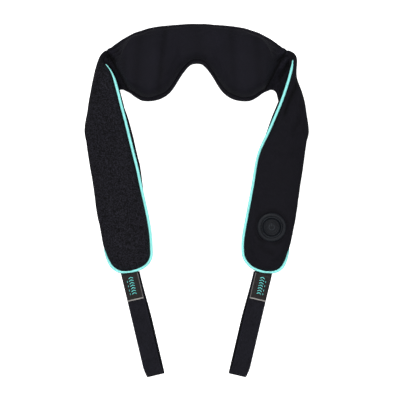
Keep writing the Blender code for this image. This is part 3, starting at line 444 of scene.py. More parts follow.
# ------------------------------------------------------------------ materials
class Nodes:
    def __init__(self, name):
        self.mat = bpy.data.materials.new(name)
        self.mat.use_nodes = True
        self.tree = self.mat.node_tree
        self.bsdf = self.tree.nodes["Principled BSDF"]

    def add(self, kind, inputs=None, **settings):
        node = self.tree.nodes.new(kind)
        for k, v in settings.items():
            setattr(node, k, v)
        for k, v in (inputs or {}).items():
            if isinstance(v, bpy.types.NodeSocket):
                self.tree.links.new(v, node.inputs[k])
            else:
                node.inputs[k].default_value = v
        return node

    def set(self, **values):
        for k, v in values.items():
            key = k.replace("_", " ")
            if isinstance(v, bpy.types.NodeSocket):
                self.tree.links.new(v, self.bsdf.inputs[key])
            else:
                self.bsdf.inputs[key].default_value = v

    def math(self, op, a, b=0.0, c=0.0):
        return self.add("ShaderNodeMath", {0: a, 1: b, 2: c}, operation=op).outputs[0]

    def mix(self, fac, a, b):
        node = self.add("ShaderNodeMix", data_type="RGBA")
        for key, v in (("Factor", fac), ("A", a), ("B", b)):
            sockets = [s for s in node.inputs if s.name == key and s.enabled]
            if isinstance(v, bpy.types.NodeSocket):
                self.tree.links.new(v, sockets[0])
            else:
                sockets[0].default_value = v
        return [s for s in node.outputs if s.enabled][0]

    def bump(self, height, distance, normal=None, strength=1.0):
        node = self.add("ShaderNodeBump", {"Height": height, "Distance": distance, "Strength": strength})
        if normal is not None:
            self.tree.links.new(normal, node.inputs["Normal"])
        return node.outputs[0]

    def ramp(self, fac, stops):
        node = self.add("ShaderNodeMapRange", {"Value": fac, "From Min": stops[0], "From Max": stops[1], "To Min": stops[2], "To Max": stops[3]})
        return node.outputs[0]


def tinted(c, k):
    return (c[0] * k, c[1] * k, c[2] * k, 1)


def fabric(name, base, grain=0.0, weave=1.0, rough=0.72, sheen=0.02, speckle=0.25, crease=0.5, panels=False):
    """Knitted or grained black cloth: fine weave from metric UVs, soft creases and colour variation from position."""
    m = Nodes(name)
    pos = m.add("ShaderNodeNewGeometry").outputs["Position"]
    uv = m.add("ShaderNodeTexCoord").outputs["UV"]
    split = m.add("ShaderNodeSeparateXYZ", {0: uv})
    u = m.math("MULTIPLY", split.outputs[0], 2 * math.pi * 1000 / 0.9)
    v = m.math("MULTIPLY", split.outputs[1], 2 * math.pi * 1000 / 0.75)
    knit = m.math("MULTIPLY", m.math("SINE", u), m.math("SINE", m.math("ADD", v, m.math("MULTIPLY", m.math("SINE", u), 0.6))))
    fine = m.add("ShaderNodeTexNoise", {"Vector": pos, "Scale": 900.0, "Detail": 3.0}).outputs["Fac"]
    cloud = m.add("ShaderNodeTexNoise", {"Vector": pos, "Scale": 34.0, "Detail": 4.0, "Roughness": 0.6}).outputs["Fac"]
    soft = m.add("ShaderNodeTexNoise", {"Vector": pos, "Scale": 62.0, "Detail": 3.0, "Distortion": 0.8}).outputs["Fac"]
    normal = m.bump(soft, 0.0011 * crease)
    normal = m.bump(knit, 0.00009 * weave, normal)
    tone = m.math("ADD", m.ramp(cloud, (0.3, 0.7, 1 - 0.14, 1 + 0.14)), m.math("MULTIPLY", m.math("SUBTRACT", fine, 0.5), 0.3))
    if grain:
        cells = m.add("ShaderNodeTexVoronoi", {"Vector": pos, "Scale": 640.0, "Randomness": 1.0}, feature="SMOOTH_F1")
        cells.inputs["Smoothness"].default_value = 0.6
        pebble = m.add("ShaderNodeTexNoise", {"Vector": pos, "Scale": 560.0, "Detail": 2.0, "Roughness": 0.55}).outputs["Fac"]
        lumps = m.math("ADD", m.math("SUBTRACT", 1.0, cells.outputs["Distance"]), m.math("MULTIPLY", pebble, 1.2))
        speck = m.math("MULTIPLY", m.ramp(pebble, (0.36, 0.64, -0.5, 0.5)), speckle * 2)
        if panels == "gusset":
            p = m.add("ShaderNodeSeparateXYZ", {0: pos})
            mask = m.ramp(p.outputs[2], (0.004, 0.007, 0.0, 1.0))
            lumps = m.math("MULTIPLY", lumps, mask)
            speck = m.math("MULTIPLY", speck, mask)
            tone = m.math("ADD", tone, m.math("MULTIPLY", mask, 0.55))
        elif panels:
            # the grained end panels start at the sewn line on each side, with a stitched groove along it whose darkness
            # is painted shade
            p = m.add("ShaderNodeSeparateXYZ", {0: pos})
            d = m.math("SUBTRACT", m.math("MULTIPLY", m.math("SUBTRACT", m.math("ABSOLUTE", p.outputs[0]), 0.1387), 0.880), m.math("MULTIPLY", m.math("SUBTRACT", p.outputs[1], 0.2323), 0.474))
            mask = m.ramp(d, (-0.0004, 0.0004, 0.0, 1.0))
            lumps = m.math("MULTIPLY", lumps, mask)
            speck = m.math("MULTIPLY", speck, mask)
            # painted shade: the colour is darkened along the sewn groove, which is also bumped in below
            seam_groove_and_shade = m.ramp(m.math("ABSOLUTE", d), (0.0004, 0.0016, 1.0, 0.0))
            tone = m.math("SUBTRACT", m.math("SUBTRACT", tone, m.math("MULTIPLY", seam_groove_and_shade, 0.5)), m.math("MULTIPLY", mask, 0.12))
            lumps = m.math("SUBTRACT", lumps, m.math("MULTIPLY", seam_groove_and_shade, 1.5))
        normal = m.bump(lumps, 0.0005 * grain, normal)
        tone = m.math("ADD", tone, speck)
    # painted shade and highlight read from the mesh: darker in creases and seams, slightly lighter on ridges
    painted_shade = m.add("ShaderNodeAttribute", attribute_name="Depth", attribute_type="GEOMETRY").outputs["Fac"]
    tone = m.math("MAXIMUM", m.math("ADD", tone, painted_shade), 0.12)
    color = m.add("ShaderNodeVectorMath", {0: (base[0], base[1], base[2])}, operation="SCALE")
    m.tree.links.new(tone, color.inputs["Scale"])
    m.set(Base_Color=color.outputs[0], Roughness=m.ramp(cloud, (0.3, 0.7, rough - 0.06, rough + 0.07)), Normal=normal)
    m.set(Sheen_Weight=sheen, Sheen_Roughness=0.45, Specular_IOR_Level=0.10)
    m.bsdf.inputs["Sheen Tint"].default_value = (0.85, 0.86, 1.0, 1)
    return m.mat


def webbing(name, base):
    m = Nodes(name)
    uv = m.add("ShaderNodeTexCoord").outputs["UV"]
    s = m.add("ShaderNodeSeparateXYZ", {0: uv})
    along = m.math("MULTIPLY", s.outputs[0], 2 * math.pi * 1000 / 1.9)
    across = m.math("MULTIPLY", s.outputs[1], 2 * math.pi * 1000 / 2.6)
    rib = m.math("SINE", m.math("ADD", along, m.math("MULTIPLY", m.math("SINE", across), 0.9)))
    cross = m.math("SINE", across)
    pos = m.add("ShaderNodeNewGeometry").outputs["Position"]
    fuzz = m.add("ShaderNodeTexNoise", {"Vector": pos, "Scale": 700.0, "Detail": 3.0}).outputs["Fac"]
    cloud = m.add("ShaderNodeTexNoise", {"Vector": pos, "Scale": 60.0, "Detail": 3.0}).outputs["Fac"]
    edge = m.ramp(m.math("ABSOLUTE", s.outputs[1]), (0.0118, 0.0134, 0.0, 1.0))
    blot = m.add("ShaderNodeTexNoise", {"Vector": pos, "Scale": 420.0, "Detail": 2.0}).outputs["Fac"]
    tone = m.math("ADD", m.ramp(rib, (-1.0, 1.0, 0.65, 1.35)), m.math("MULTIPLY", m.math("SUBTRACT", cloud, 0.5), 0.8))
    tone = m.math("ADD", tone, m.math("MULTIPLY", m.math("SUBTRACT", blot, 0.5), 1.1))
    # painted shade read from the mesh: darker on the loop's lower layer, which the upper layer shades
    tone = m.math("MAXIMUM", m.math("ADD", tone, m.add("ShaderNodeAttribute", attribute_name="Depth", attribute_type="GEOMETRY").outputs["Fac"]), 0.15)
    tone = m.math("ADD", tone, m.math("MULTIPLY", edge, 0.7))
    color = m.add("ShaderNodeVectorMath", {0: base}, operation="SCALE")
    m.tree.links.new(tone, color.inputs["Scale"])
    normal = m.bump(m.math("ADD", rib, m.math("MULTIPLY", cross, 0.4)), 0.00022)
    normal = m.bump(fuzz, 0.00015, normal)
    m.set(Base_Color=color.outputs[0], Roughness=m.ramp(fuzz, (0.3, 0.7, 0.55, 0.72)), Normal=normal, Sheen_Weight=0.01, Specular_IOR_Level=0.12)
    return m.mat


def piping_material(name, base):
    m = Nodes(name)
    uv = m.add("ShaderNodeTexCoord").outputs["UV"]
    s = m.add("ShaderNodeSeparateXYZ", {0: uv})
    twill = m.math("SINE", m.math("ADD", m.math("MULTIPLY", s.outputs[0], 2 * math.pi * 1000 / 0.9), m.math("MULTIPLY", s.outputs[1], 2 * math.pi * 1000 / 1.1)))
    pos = m.add("ShaderNodeNewGeometry").outputs["Position"]
    cloud = m.add("ShaderNodeTexNoise", {"Vector": pos, "Scale": 90.0, "Detail": 3.0}).outputs["Fac"]
    tone = m.math("ADD", m.ramp(cloud, (0.3, 0.7, 0.93, 1.05)), m.math("MULTIPLY", twill, 0.035))
    color = m.add("ShaderNodeVectorMath", {0: base}, operation="SCALE")
    m.tree.links.new(tone, color.inputs["Scale"])
    m.set(Base_Color=color.outputs[0], Roughness=m.ramp(cloud, (0.3, 0.7, 0.42, 0.58)), Normal=m.bump(twill, 0.00007), Sheen_Weight=0.15)
    return m.mat


def satin(name, base, spec=0.6):
    m = Nodes(name)
    uv = m.add("ShaderNodeTexCoord").outputs["UV"]
    s = m.add("ShaderNodeSeparateXYZ", {0: uv})
    thread = m.math("SINE", m.math("MULTIPLY", s.outputs[1], 2 * math.pi * 1000 / 0.5))
    pos = m.add("ShaderNodeNewGeometry").outputs["Position"]
    cloud = m.add("ShaderNodeTexNoise", {"Vector": pos, "Scale": 120.0, "Detail": 3.0}).outputs["Fac"]
    tone = m.math("ADD", m.ramp(cloud, (0.3, 0.7, 0.86, 1.14)), m.math("MULTIPLY", thread, 0.05))
    color = m.add("ShaderNodeVectorMath", {0: base}, operation="SCALE")
    m.tree.links.new(tone, color.inputs["Scale"])
    m.set(Base_Color=color.outputs[0], Roughness=m.ramp(cloud, (0.3, 0.7, 0.32, 0.46)), Normal=m.bump(thread, 0.00005), Specular_IOR_Level=spec)
    return m.mat


def moulded(name, base, rough=0.4, metallic=0.0, scale=600.0, bump=0.00004, brushed=False, spec=0.5):
    """Moulded plastic, rubber or metal: fine surface grain, handling wear and uneven gloss."""
    m = Nodes(name)
    pos = m.add("ShaderNodeNewGeometry").outputs["Position"]
    if brushed:
        pos = m.add("ShaderNodeMapping", {"Vector": pos, "Scale": (1, 1, 14)}).outputs[0]
    grain = m.add("ShaderNodeTexNoise", {"Vector": pos, "Scale": scale, "Detail": 4.0}).outputs["Fac"]
    cloud = m.add("ShaderNodeTexNoise", {"Vector": pos, "Scale": 70.0, "Detail": 4.0}).outputs["Fac"]
    color = m.add("ShaderNodeVectorMath", {0: base}, operation="SCALE")
    m.tree.links.new(m.math("ADD", m.ramp(cloud, (0.3, 0.7, 0.9, 1.1)), m.math("MULTIPLY", m.math("SUBTRACT", grain, 0.5), 0.16)), color.inputs["Scale"])
    m.set(Base_Color=color.outputs[0], Roughness=m.ramp(cloud, (0.3, 0.7, rough - 0.07, rough + 0.07)), Metallic=metallic, Normal=m.bump(grain, bump), Specular_IOR_Level=spec)
    return m.mat


BLACK = (0.0078, 0.0073, 0.0114)
SMOOTH = fabric("smooth_knit", (0.0064, 0.0059, 0.0090), weave=1.0, rough=0.7, crease=0.5)
GRAINED = fabric("grained_cloth", (0.0089, 0.0084, 0.0118), grain=1.6, rough=0.6, speckle=1.25, crease=0.35)
NECKSIDE = fabric("neck_side_knit", BLACK, grain=1.2, weave=1.0, rough=0.7, speckle=0.5, crease=0.5, panels="ends")
GUSSET = fabric("gusset_cloth", (0.0064, 0.0059, 0.0090), grain=1.0, weave=1.0, rough=0.7, speckle=0.6, crease=0.5, panels="gusset")
LINING = fabric("grained_lining", (0.0060, 0.0056, 0.0082), grain=0.8, rough=0.72, speckle=0.3, crease=0.35)
PIPING = piping_material("turquoise_piping", (0.330, 0.990, 0.930))
WEB = webbing("ribbed_webbing", (0.0082, 0.0080, 0.0122))
SATIN = satin("label_satin", (0.0120, 0.0095, 0.0088), 0.25)
SATIN_EDGE = satin("label_edge", (0.30, 0.28, 0.265), 0.6)
SATIN_SIDE = satin("label_side", (0.13, 0.12, 0.115), 0.5)
TEAL = satin("label_motif", (0.15, 0.72, 0.68), 0.4)
PLASTIC = moulded("button_plastic", (0.0050, 0.0060, 0.0086), 0.5, spec=0.14)
RING = moulded("bezel_plastic", (0.0064, 0.0077, 0.0108), 0.46, spec=0.16)
RUBBER = moulded("soft_rubber", (0.014, 0.0145, 0.017), 0.62, scale=900)
ICON = moulded("icon_print", (0.026, 0.031, 0.039), 0.5, spec=0.2)
INNER = {
    "steel": moulded("turned_steel", (0.55, 0.56, 0.58), 0.34, 1.0, scale=260, brushed=True),
    "bronze": moulded("sintered_bronze", (0.62, 0.42, 0.2), 0.45, 1.0, scale=1400, bump=0.00006),
    "nylon": moulded("white_nylon", (0.80, 0.79, 0.75), 0.5, scale=500),
    "plastic": moulded("black_abs", (0.022, 0.022, 0.025), 0.48, scale=800),
    "board": moulded("green_board", (0.02, 0.16, 0.07), 0.38, scale=1500, bump=0.00003),
    "cell": moulded("cell_wrap", (0.10, 0.30, 0.55), 0.3, scale=200),
    "wire": moulded("wire_jacket", (0.30, 0.03, 0.03), 0.45, scale=700),
    "foam": moulded("cut_foam", (0.20, 0.20, 0.21), 0.95, scale=1500, bump=0.0004),
    "head": moulded("kneading_head", (0.55, 0.50, 0.44), 0.55, scale=700),
}

# ------------------------------------------------------------------ build the rings of both sides
SIDES = {}
for word in ("right", "left"):
    grid, fold_at, arm_at, idx, p_rows = chain(word)
    SIDES[word] = {"grid": grid, "fold": fold_at, "arm": arm_at, "idx": idx, "p": p_rows}

# one grid over the whole object, left side mirrored and reversed, so that normals and creases run through
M = NI + NO
left = SIDES["left"]["grid"] * [-1, 1, 1]
right = SIDES["right"]["grid"]
whole = np.concatenate([left[::-1], right[1:]])
n_left = len(left)
normal = normals_of(whole)
middle = whole.mean(axis=1, keepdims=True)
if np.sum(normal * (whole - middle)) < 0:
    normal = -normal


def smooth_fold(grid, i_fold, i_arm, step):
    """Evens out the change of direction round the fold, from the fold line towards the arm."""
    g = grid.copy()
    lo, hi = (i_fold, i_arm + 16 * step) if step > 0 else (i_arm + 16 * step, i_fold)
    rows = np.arange(lo + 1, hi)
    w = smooth((np.abs(rows - i_fold)) / 5.0) * smooth(np.abs(rows - (i_arm + 16 * step)) / 5.0)
    for _ in range(9):
        mean = (g[rows - 1] + 2 * g[rows] + g[rows + 1]) / 4
        g[rows] += (mean - g[rows]) * w[:, None, None]
    inner = range(i_arm, i_arm + 17 * step, step)
    for i in inner:
        g[i, :, 2] = np.maximum(g[i, :, 2], np.where(grid[i, :, 2] > 17.4, 17.55, grid[i, :, 2]))
    return g


def seg_distance(x, y, pts):
    best = np.full(x.shape, 1e9)
    for (ax, ay), (bx, by) in zip(pts[:-1], pts[1:]):
        dx, dy = bx - ax, by - ay
        t = np.clip(((x - ax) * dx + (y - ay) * dy) / (dx * dx + dy * dy), 0, 1)
        best = np.minimum(best, np.hypot(x - ax - t * dx, y - ay - t * dy))
    return best


def panel_line(x, y):
    """Distance past the sewn line where the neck side's grained end panels start."""
    return (np.abs(x) - 138.7) * 0.880 - (y - 232.3) * 0.474


def shaped(points, nrm):
    """Sewn lines, folds and soft ridges, in millimetres along the normal."""
    x, y, z = points[:, :, 0], points[:, :, 1], points[:, :, 2]
    out = np.zeros(x.shape)
    front = np.zeros(x.shape, bool)
    front[f_l : f_r + 1, : NI + 1] = True
    face = front & (y > 150)
    d = panel_line(x, y)
    edge = smooth(np.minimum(np.arange(x.shape[1]), 99)[None, :] / 4.0) * smooth((NI - np.arange(x.shape[1]))[None, :] / 4.0)
    edge = np.where(np.arange(x.shape[1])[None, :] <= NI, edge, 0)
    out += np.where(face, (-2.0 * np.exp(-((d / 2.0) ** 2)) + 0.8 * np.exp(-(((d + 6.5) / 4.0) ** 2)) + 0.7 * np.exp(-(((d - 6) / 3.5) ** 2))) * edge, 0)
    # long soft ridges running down the neck side
    for cx, wide, high in ((-69, 8, 0.9), (-55, 5, -0.9), (-92, 7, -0.55), (-108, 5, 0.5), (33, 9, 0.45), (58, 6, -0.5), (72, 9, 0.55), (97, 6, -0.55), (4, 10, -0.35)):
        lean = cx + (y - 215) * (0.10 if cx < 0 else -0.06)
        out += np.where(face, high * np.exp(-(((x - lean) / wide) ** 2)) * edge, 0)
    # small wrinkles gathered where the neck pad turns under each fold
    for sx in (-1, 1):
        for k, (ax, ay, bx, by, high) in enumerate(((144, 240, 128, 231, 1.1), (146, 232, 127, 221, -1.2), (147, 226, 131, 211, 1.0), (146, 214, 130, 199, -1.0), (142, 200, 126, 187, 0.9), (135, 186, 121, 183, -0.7))):
            dd = seg_distance(sx * x, y, [(ax, ay), ((ax + bx) / 2 + 1.5 * (-1) ** k, (ay + by) / 2 + 1.0), (bx, by)])
            out += np.where(face & (sx * x > 0), 1.6 * high * np.exp(-((dd / 2.1) ** 2)) * edge, 0)
    for high, line in ((-2.0, [(141.4, 229), (132.6, 234.2), (124.7, 238.2)]), (1.4, [(139.5, 234.5), (131, 239.5), (123.5, 243)]), (-1.6, [(137.5, 240), (128, 245.6)]), (-1.3, [(136, 223), (128.5, 229.5), (120, 233)]), (1.0, [(137, 226.5), (130, 232), (121.5, 235.5)])):
        for side, share in ((-1, 1.0), (1, 0.45)):
            out += np.where(face, share * high * np.exp(-((seg_distance(side * x, y, line) / 1.9) ** 2)) * edge, 0)
    dd = seg_distance(x, y, [(147.5, 222), (140, 207), (132.5, 191.5)])
    out += np.where(face, (-2.2 * np.exp(-((dd / 2.6) ** 2)) + 0.8 * np.exp(-(((dd - 6.5) / 2.5) ** 2))) * edge, 0)
    dd = seg_distance(-x, y, [(143.5, 236), (141, 226), (139, 215), (133, 204)])
    out += np.where(face, -2.0 * np.exp(-((dd / 2.4) ** 2)) * edge, 0)
    # the arms: a long fold in the right one and creases where each turns over
    rowi = np.arange(x.shape[0])[:, None]
    back = np.arange(x.shape[1])[None, :] >= NI
    right_up = (rowi > f_r + 8) & back & (z > 16)
    left_up = (rowi < f_l - 8) & back & (z > 16)
    mid = np.arange(x.shape[1])[None, :] - NI
    inside = smooth(mid / 6.0) * smooth((NO - mid) / 6.0)
    d = seg_distance(x, y, [(163, 196), (156, 178), (148.5, 164), (142.5, 150.4), (139, 138)])
    out += np.where(right_up, (-1.7 * np.exp(-((d / 3.4) ** 2))) * inside, 0)
    d = seg_distance(x, y, [(169, 186), (164, 166), (157, 146), (152, 128)])
    out += np.where(right_up, 0.8 * np.exp(-((d / 5.5) ** 2)) * inside, 0)
    d = seg_distance(x, y, [(164, 150), (160, 126), (151, 104)])
    out += np.where(right_up, -0.6 * np.exp(-((d / 4.5) ** 2)) * inside, 0)
    d = seg_distance(-x, y, [(150, 214), (154, 196), (160, 172)])
    out += np.where(left_up, -1.0 * np.exp(-((d / 3.6) ** 2)) * inside, 0)
    d = seg_distance(-x, y, [(144, 212), (143, 188), (147, 160)])
    out += np.where(left_up, 0.6 * np.exp(-((d / 5.0) ** 2)) * inside, 0)
    # puckers round the control button and towards the end
    r = np.hypot(x - CONTROL[0], y - CONTROL[1])
    ang = np.arctan2(y - CONTROL[1], x - CONTROL[0])
    near = back & (rowi > a_r)
    out += np.where(near, -1.1 * np.exp(-(((r - 26.5) / 2.6) ** 2)) * (0.75 + 0.25 * np.sin(5 * ang + 1)), 0)
    out += np.where(near, 0.45 * np.exp(-(((r - 31.5) / 3.5) ** 2)) * (0.6 + 0.4 * np.sin(7 * ang)), 0)
    for pts, high in ((((101, -70), (108, -79), (121, -84)), -0.7), (((113, -68), (122, -74), (133, -76)), 0.5)):
        out += np.where(near, high * np.exp(-((seg_distance(x, y, pts) / 3.2) ** 2)), 0)
    return out


def relief(points):
    """Soft unevenness of the stuffed cloth, in millimetres along the normal."""
    flat = points.reshape(-1, 3)
    big = noise_at(flat, 34.0, 1.7)
    mid = noise_at(flat, 13.0, 4.1)
    out = 0.55 * big + 0.22 * mid
    return out.reshape(points.shape[:2])



a_l, f_l = n_left - 1 - SIDES["left"]["arm"], n_left - 1 - SIDES["left"]["fold"]
f_r, a_r = n_left - 1 + SIDES["right"]["fold"], n_left - 1 + SIDES["right"]["arm"]
whole = smooth_fold(whole, f_r, a_r, 1)
whole = smooth_fold(whole, f_l, a_l, -1)


def settled(grid, seed=5):
    """Cloth simulation of the stuffed covers, sewn at their seams and pushed out a little by the padding: how far each point moves."""
    si, sj = 2, 3
    rows = np.arange(0, len(grid), si)
    if rows[-1] != len(grid) - 1:
        rows = np.append(rows, len(grid) - 1)
    coarse = grid[rows][:, ::sj]
    n, m = coarse.shape[:2]
    verts = coarse.reshape(-1, 3) * 0.9985
    faces = [(i * m + j, i * m + (j + 1) % m, (i + 1) * m + (j + 1) % m, (i + 1) * m + j) for i in range(n - 1) for j in range(m)]
    obj = to_object("cloth_form", verts, faces, [])
    fix_outward(obj)
    cols = np.arange(m) * sj
    held = np.zeros((n, m), bool)
    held[:, (cols == 0) | (cols == NI)] = True
    held[(rows > a_l - 4) & (rows < f_l + 6)] = True
    held[(rows > f_r - 6) & (rows < a_r + 4)] = True
    held[:2] = held[-2:] = True
    neck_rows = (rows >= f_l) & (rows <= f_r)
    held[np.ix_(neck_rows, cols >= NI)] = True
    group = obj.vertex_groups.new(name="sewn")
    group.add([int(v) for v in np.nonzero(held.ravel())[0]], 1.0, "REPLACE")
    cloth = obj.modifiers.new("Cloth", "CLOTH")
    c = cloth.settings
    c.quality = 5
    c.mass = 0.25
    c.tension_stiffness, c.compression_stiffness, c.shear_stiffness, c.bending_stiffness = 12, 12, 4, 0.35
    c.vertex_group_mass = "sewn"
    c.use_pressure = True
    c.uniform_pressure_force = 3.0
    c.shrink_min = -0.035
    c.effector_weights.gravity = 0
    cloth.collision_settings.use_collision = False
    cloth.point_cache.frame_start, cloth.point_cache.frame_end = 1, 18
    scene = bpy.context.scene
    for f in range(1, 19):
        scene.frame_set(f)
    graph = bpy.context.evaluated_depsgraph_get()
    mesh = obj.evaluated_get(graph).to_mesh()
    co = np.zeros(len(mesh.vertices) * 3)
    mesh.vertices.foreach_get("co", co)
    obj.evaluated_get(graph).to_mesh_clear()
    scene.frame_set(1)
    moved = (co.reshape(n, m, 3) * 1000 - verts.reshape(n, m, 3))
    bpy.data.objects.remove(obj)
    # back to the fine grid, closed round the second index
    col = np.arange(grid.shape[1]) / sj
    j0 = col.astype(int)
    t = (col - j0)[None, :, None]
    t = t * t * (3 - 2 * t)
    fine = moved[:, j0 % m] * (1 - t) + moved[:, (j0 + 1) % m] * t
    k = np.interp(np.arange(len(grid)), rows, np.arange(n))
    i0 = np.minimum(k.astype(int), n - 2)
    u = (k - i0)[:, None, None]
    u = u * u * (3 - 2 * u)
    return fine[i0] * (1 - u) + fine[i0 + 1] * u


normal = normals_of(whole)
middle = whole.mean(axis=1, keepdims=True)
if np.sum(normal * (whole - middle)) < 0:
    normal = -normal
rowi = np.arange(len(whole))[:, None]
move = np.sum(settled(whole) * normal, axis=2)
move = np.nan_to_num(move)
print("cloth: median", round(float(np.median(np.abs(move))), 2), "largest", round(float(np.abs(move).max()), 2))
face_on = smooth((np.abs(normal[:, :, 2]) - 0.25) / 0.5)
move = np.clip(move, -2.5, 2.5) * face_on
neck_face = (rowi >= f_l) & (rowi <= f_r) & (np.arange(M)[None, :] <= NI)
move = np.where(neck_face, np.clip(move, -0.4, 1.4), move)
move = np.where(neck_face, move, np.maximum(move, -0.1))
whole = whole + normal * move[:, :, None]
calm = 0.25 + 0.75 * smooth(np.minimum(np.abs(rowi - f_l), np.abs(rowi - f_r)) / 8.0)  # little relief where the layers touch
calm = calm * (0.3 + 0.7 * smooth(np.minimum(np.abs(rowi - a_l), np.abs(rowi - a_r)) / 6.0))
made = shaped(whole, normal)
bumps = relief(whole)
bumps = np.where(bumps < 0, bumps * 0.55, bumps)
lift = bumps * calm + made
seam = np.minimum(np.arange(M), np.minimum(np.abs(np.arange(M) - NI), M - np.arange(M)))[None, :]
press = np.where((rowi >= f_l) & (rowi <= f_r), 1.3, 0.5)
lift = lift - press * np.exp(-((seam / 1.3) ** 2))
round_control = np.hypot(whole[:, :, 0] - CONTROL[0], whole[:, :, 1] - CONTROL[1])
down = smooth((24.0 - round_control) / 3.0) * (whole[:, :, 2] > 18) * (rowi > a_r)
whole[:, :, 2] += down * (np.minimum(whole[:, :, 2], 22.6) - whole[:, :, 2])
# painted shade and highlight: the cloth's colour is darkened in creases and along seams and lightened slightly on
# raised ridges, following the shaping above
painted_shade = np.clip(made, -1.7, 1.2) - 0.8 * press * np.exp(-((seam / 1.0) ** 2))
PAINTED_SHADE = np.where(painted_shade < 0, painted_shade * 0.42, painted_shade * 0.14)
whole = whole + normal * lift[:, :, None]
past_lead = np.hypot(whole[:, :, 0] + 144.5, whole[:, :, 1] - 103.0)  # room for the battery lead under the left arm
whole[:, :, 2] -= 2.8 * np.exp(-((past_lead / 16.0) ** 2)) * (rowi < a_l) * np.clip(-1.5 * normal[:, :, 2], 0, 1)
whole[:, :, 2] = np.maximum(whole[:, :, 2], 0.15)
whole[f_l : f_r + 1, :, 2] = np.where(calm[f_l : f_r + 1] < 0.3, np.minimum(whole[f_l : f_r + 1, :, 2], 14.5), whole[f_l : f_r + 1, :, 2])
normal = normals_of(whole)
if np.sum(normal * (whole - middle)) < 0:
    normal = -normal
ring_closed = lambda g, j0, j1: np.take(g, [j % g.shape[1] for j in range(j0, j1 + 1)], axis=1)
def part(i0, i1, face):
    j0, j1 = (0, NI) if face == "front" else (NI, M)
    return ring_closed(whole[i0 : i1 + 1], j0, j1), ring_closed(normal[i0 : i1 + 1], j0, j1), ring_closed(PAINTED_SHADE[i0 : i1 + 1], j0, j1)


def padded(obj, slot_name, fill, *nodes):
    if nodes:
        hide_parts(*nodes)
    return obj


neck_front = shell("neck_front_panel", *part(f_l, f_r, "front"), NECKSIDE)
neck_back = shell("neck_back_panel", *part(f_l, f_r, "back"), GUSSET)
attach(padded(neck_front, "smooth_fabric", 0.8, "neck_front_cover", "neck_foam"), "root")
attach(padded(neck_back, "smooth_fabric", 0.8, "neck_back_cover"), "root")

spans = {"left": (a_l, f_l, 0, a_l), "right": (f_r, a_r, a_r, len(whole) - 1)}
for word, (u0, u1, v0, v1) in spans.items():
    body = f"{word}_arm"
    top = GRAINED if word == "left" else SMOOTH
    sx = -1 if word == "left" else 1
    end = (sx * 0.147, 0.227, 0.0175)
    for face, mat in (("front", LINING), ("back", top)):
        piece = shell(f"{word}_fold_{'lining' if face == 'front' else 'outer'}", *part(u0, u1, face), mat)
        padded(piece, "textured_fabric" if mat is not SMOOTH else "smooth_fabric", 0.5)
        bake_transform(piece)
    lining = shell(f"{word}_arm_lining", *part(v0, v1, "front"), LINING)
    outer = shell(f"{word}_arm_outer", *part(v0, v1, "back"), top, opening=(CONTROL, 21.0) if word == "right" else None)
    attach(padded(lining, "textured_fabric", 0.7, f"{word}_arm_front_cover"), body)
    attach(padded(outer, "textured_fabric" if word == "left" else "smooth_fabric", 0.7, f"{word}_arm_back_cover", f"{word}_arm_foam"), body)

# ------------------------------------------------------------------ piping along the arms' seams
def plan_normals(line, other):
    t = np.gradient(line, axis=0)
    n = np.column_stack([t[:, 1], -t[:, 0]])
    n /= np.maximum(np.linalg.norm(n, axis=1), 1e-9)[:, None]
    return n * np.sign(np.sum(n * (line - other), axis=1))[:, None]


for word, (u0, u1, v0, v1) in spans.items():
    sx = -1 if word == "left" else 1
    rows = list(range(v0, v1 + 1) if word == "right" else range(v1, v0 - 1, -1))
    idx = SIDES[word]["idx"]
    P, Q = np.array([whole[i, 0] for i in rows]), np.array([whole[i, NI] for i in rows])
    pn, qn = plan_normals(P[:, :2], Q[:, :2]), plan_normals(Q[:, :2], P[:, :2])
    at = np.interp(np.arange(len(rows)), np.arange(len(idx)), idx)
    tip = smooth((at - 17.5) / 2.5)[:, None]
    down = np.array([sx * -0.2265, -0.974])
    pd = pn * (1 - tip) + down * tip
    qd = qn * (1 - tip) + down * tip
    under = 1 - smooth((at - 12.5) / 4.0)
    fringe = smooth(fringe_at(at, word) / 3.5)
    ring_pts = np.array([whole[i] for i in rows])
    reach_p = np.array([np.max((ring_pts[k, :, :2] - P[k, :2]) @ pd[k]) for k in range(len(rows))])
    reach_q = np.array([np.max((ring_pts[k, :, :2] - Q[k, :2]) @ qd[k]) for k in range(len(rows))])
    out_q = (np.minimum(reach_q, 3.0) + 1.5) * (1 - under) - 0.3 * under
    p_line = np.column_stack([SIDES[word]["p"] * [sx, 1], P[:, 2] + 0.9 + 1.5 * fringe])
    q_line = np.column_stack([Q[:, :2] + qd * out_q[:, None], Q[:, 2] + 0.6 - 2.2 * under])
    p_line[:6, 2] -= 1.5 * (1 - smooth(np.arange(6) / 5.0))
    route = np.vstack([p_line[1:][at[1:] > (0.45 if word == "left" else 0.0)], q_line[::-1][1:][at[::-1][1:] > 7.5]])
    route = resample(route, 300)
    for _ in range(6):
        route[1:-1] = (route[:-2] + 2 * route[1:-1] + route[2:]) / 4
    route[:, 2] = np.maximum(route[:, 2], PIPING_R + 0.1)
    piece = tube(f"{word}_arm_piping", route, PIPING_R, PIPING, radii=(0.3 + 0.7 * smooth(np.arange(300) / 22.0) if word == "left" else 0.45 + 0.55 * smooth(np.arange(300) / 9.0)) * 1.0)
    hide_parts(f"{word}_piping")
    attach(piece, f"{word}_arm")

# ------------------------------------------------------------------ hand loops of webbing, with their labels
def strap_point(a, b, z, sx):
    xy = STRAP_START + STRAP_DIR * a + STRAP_ACROSS * b
    return np.array([sx * xy[0], xy[1], z])


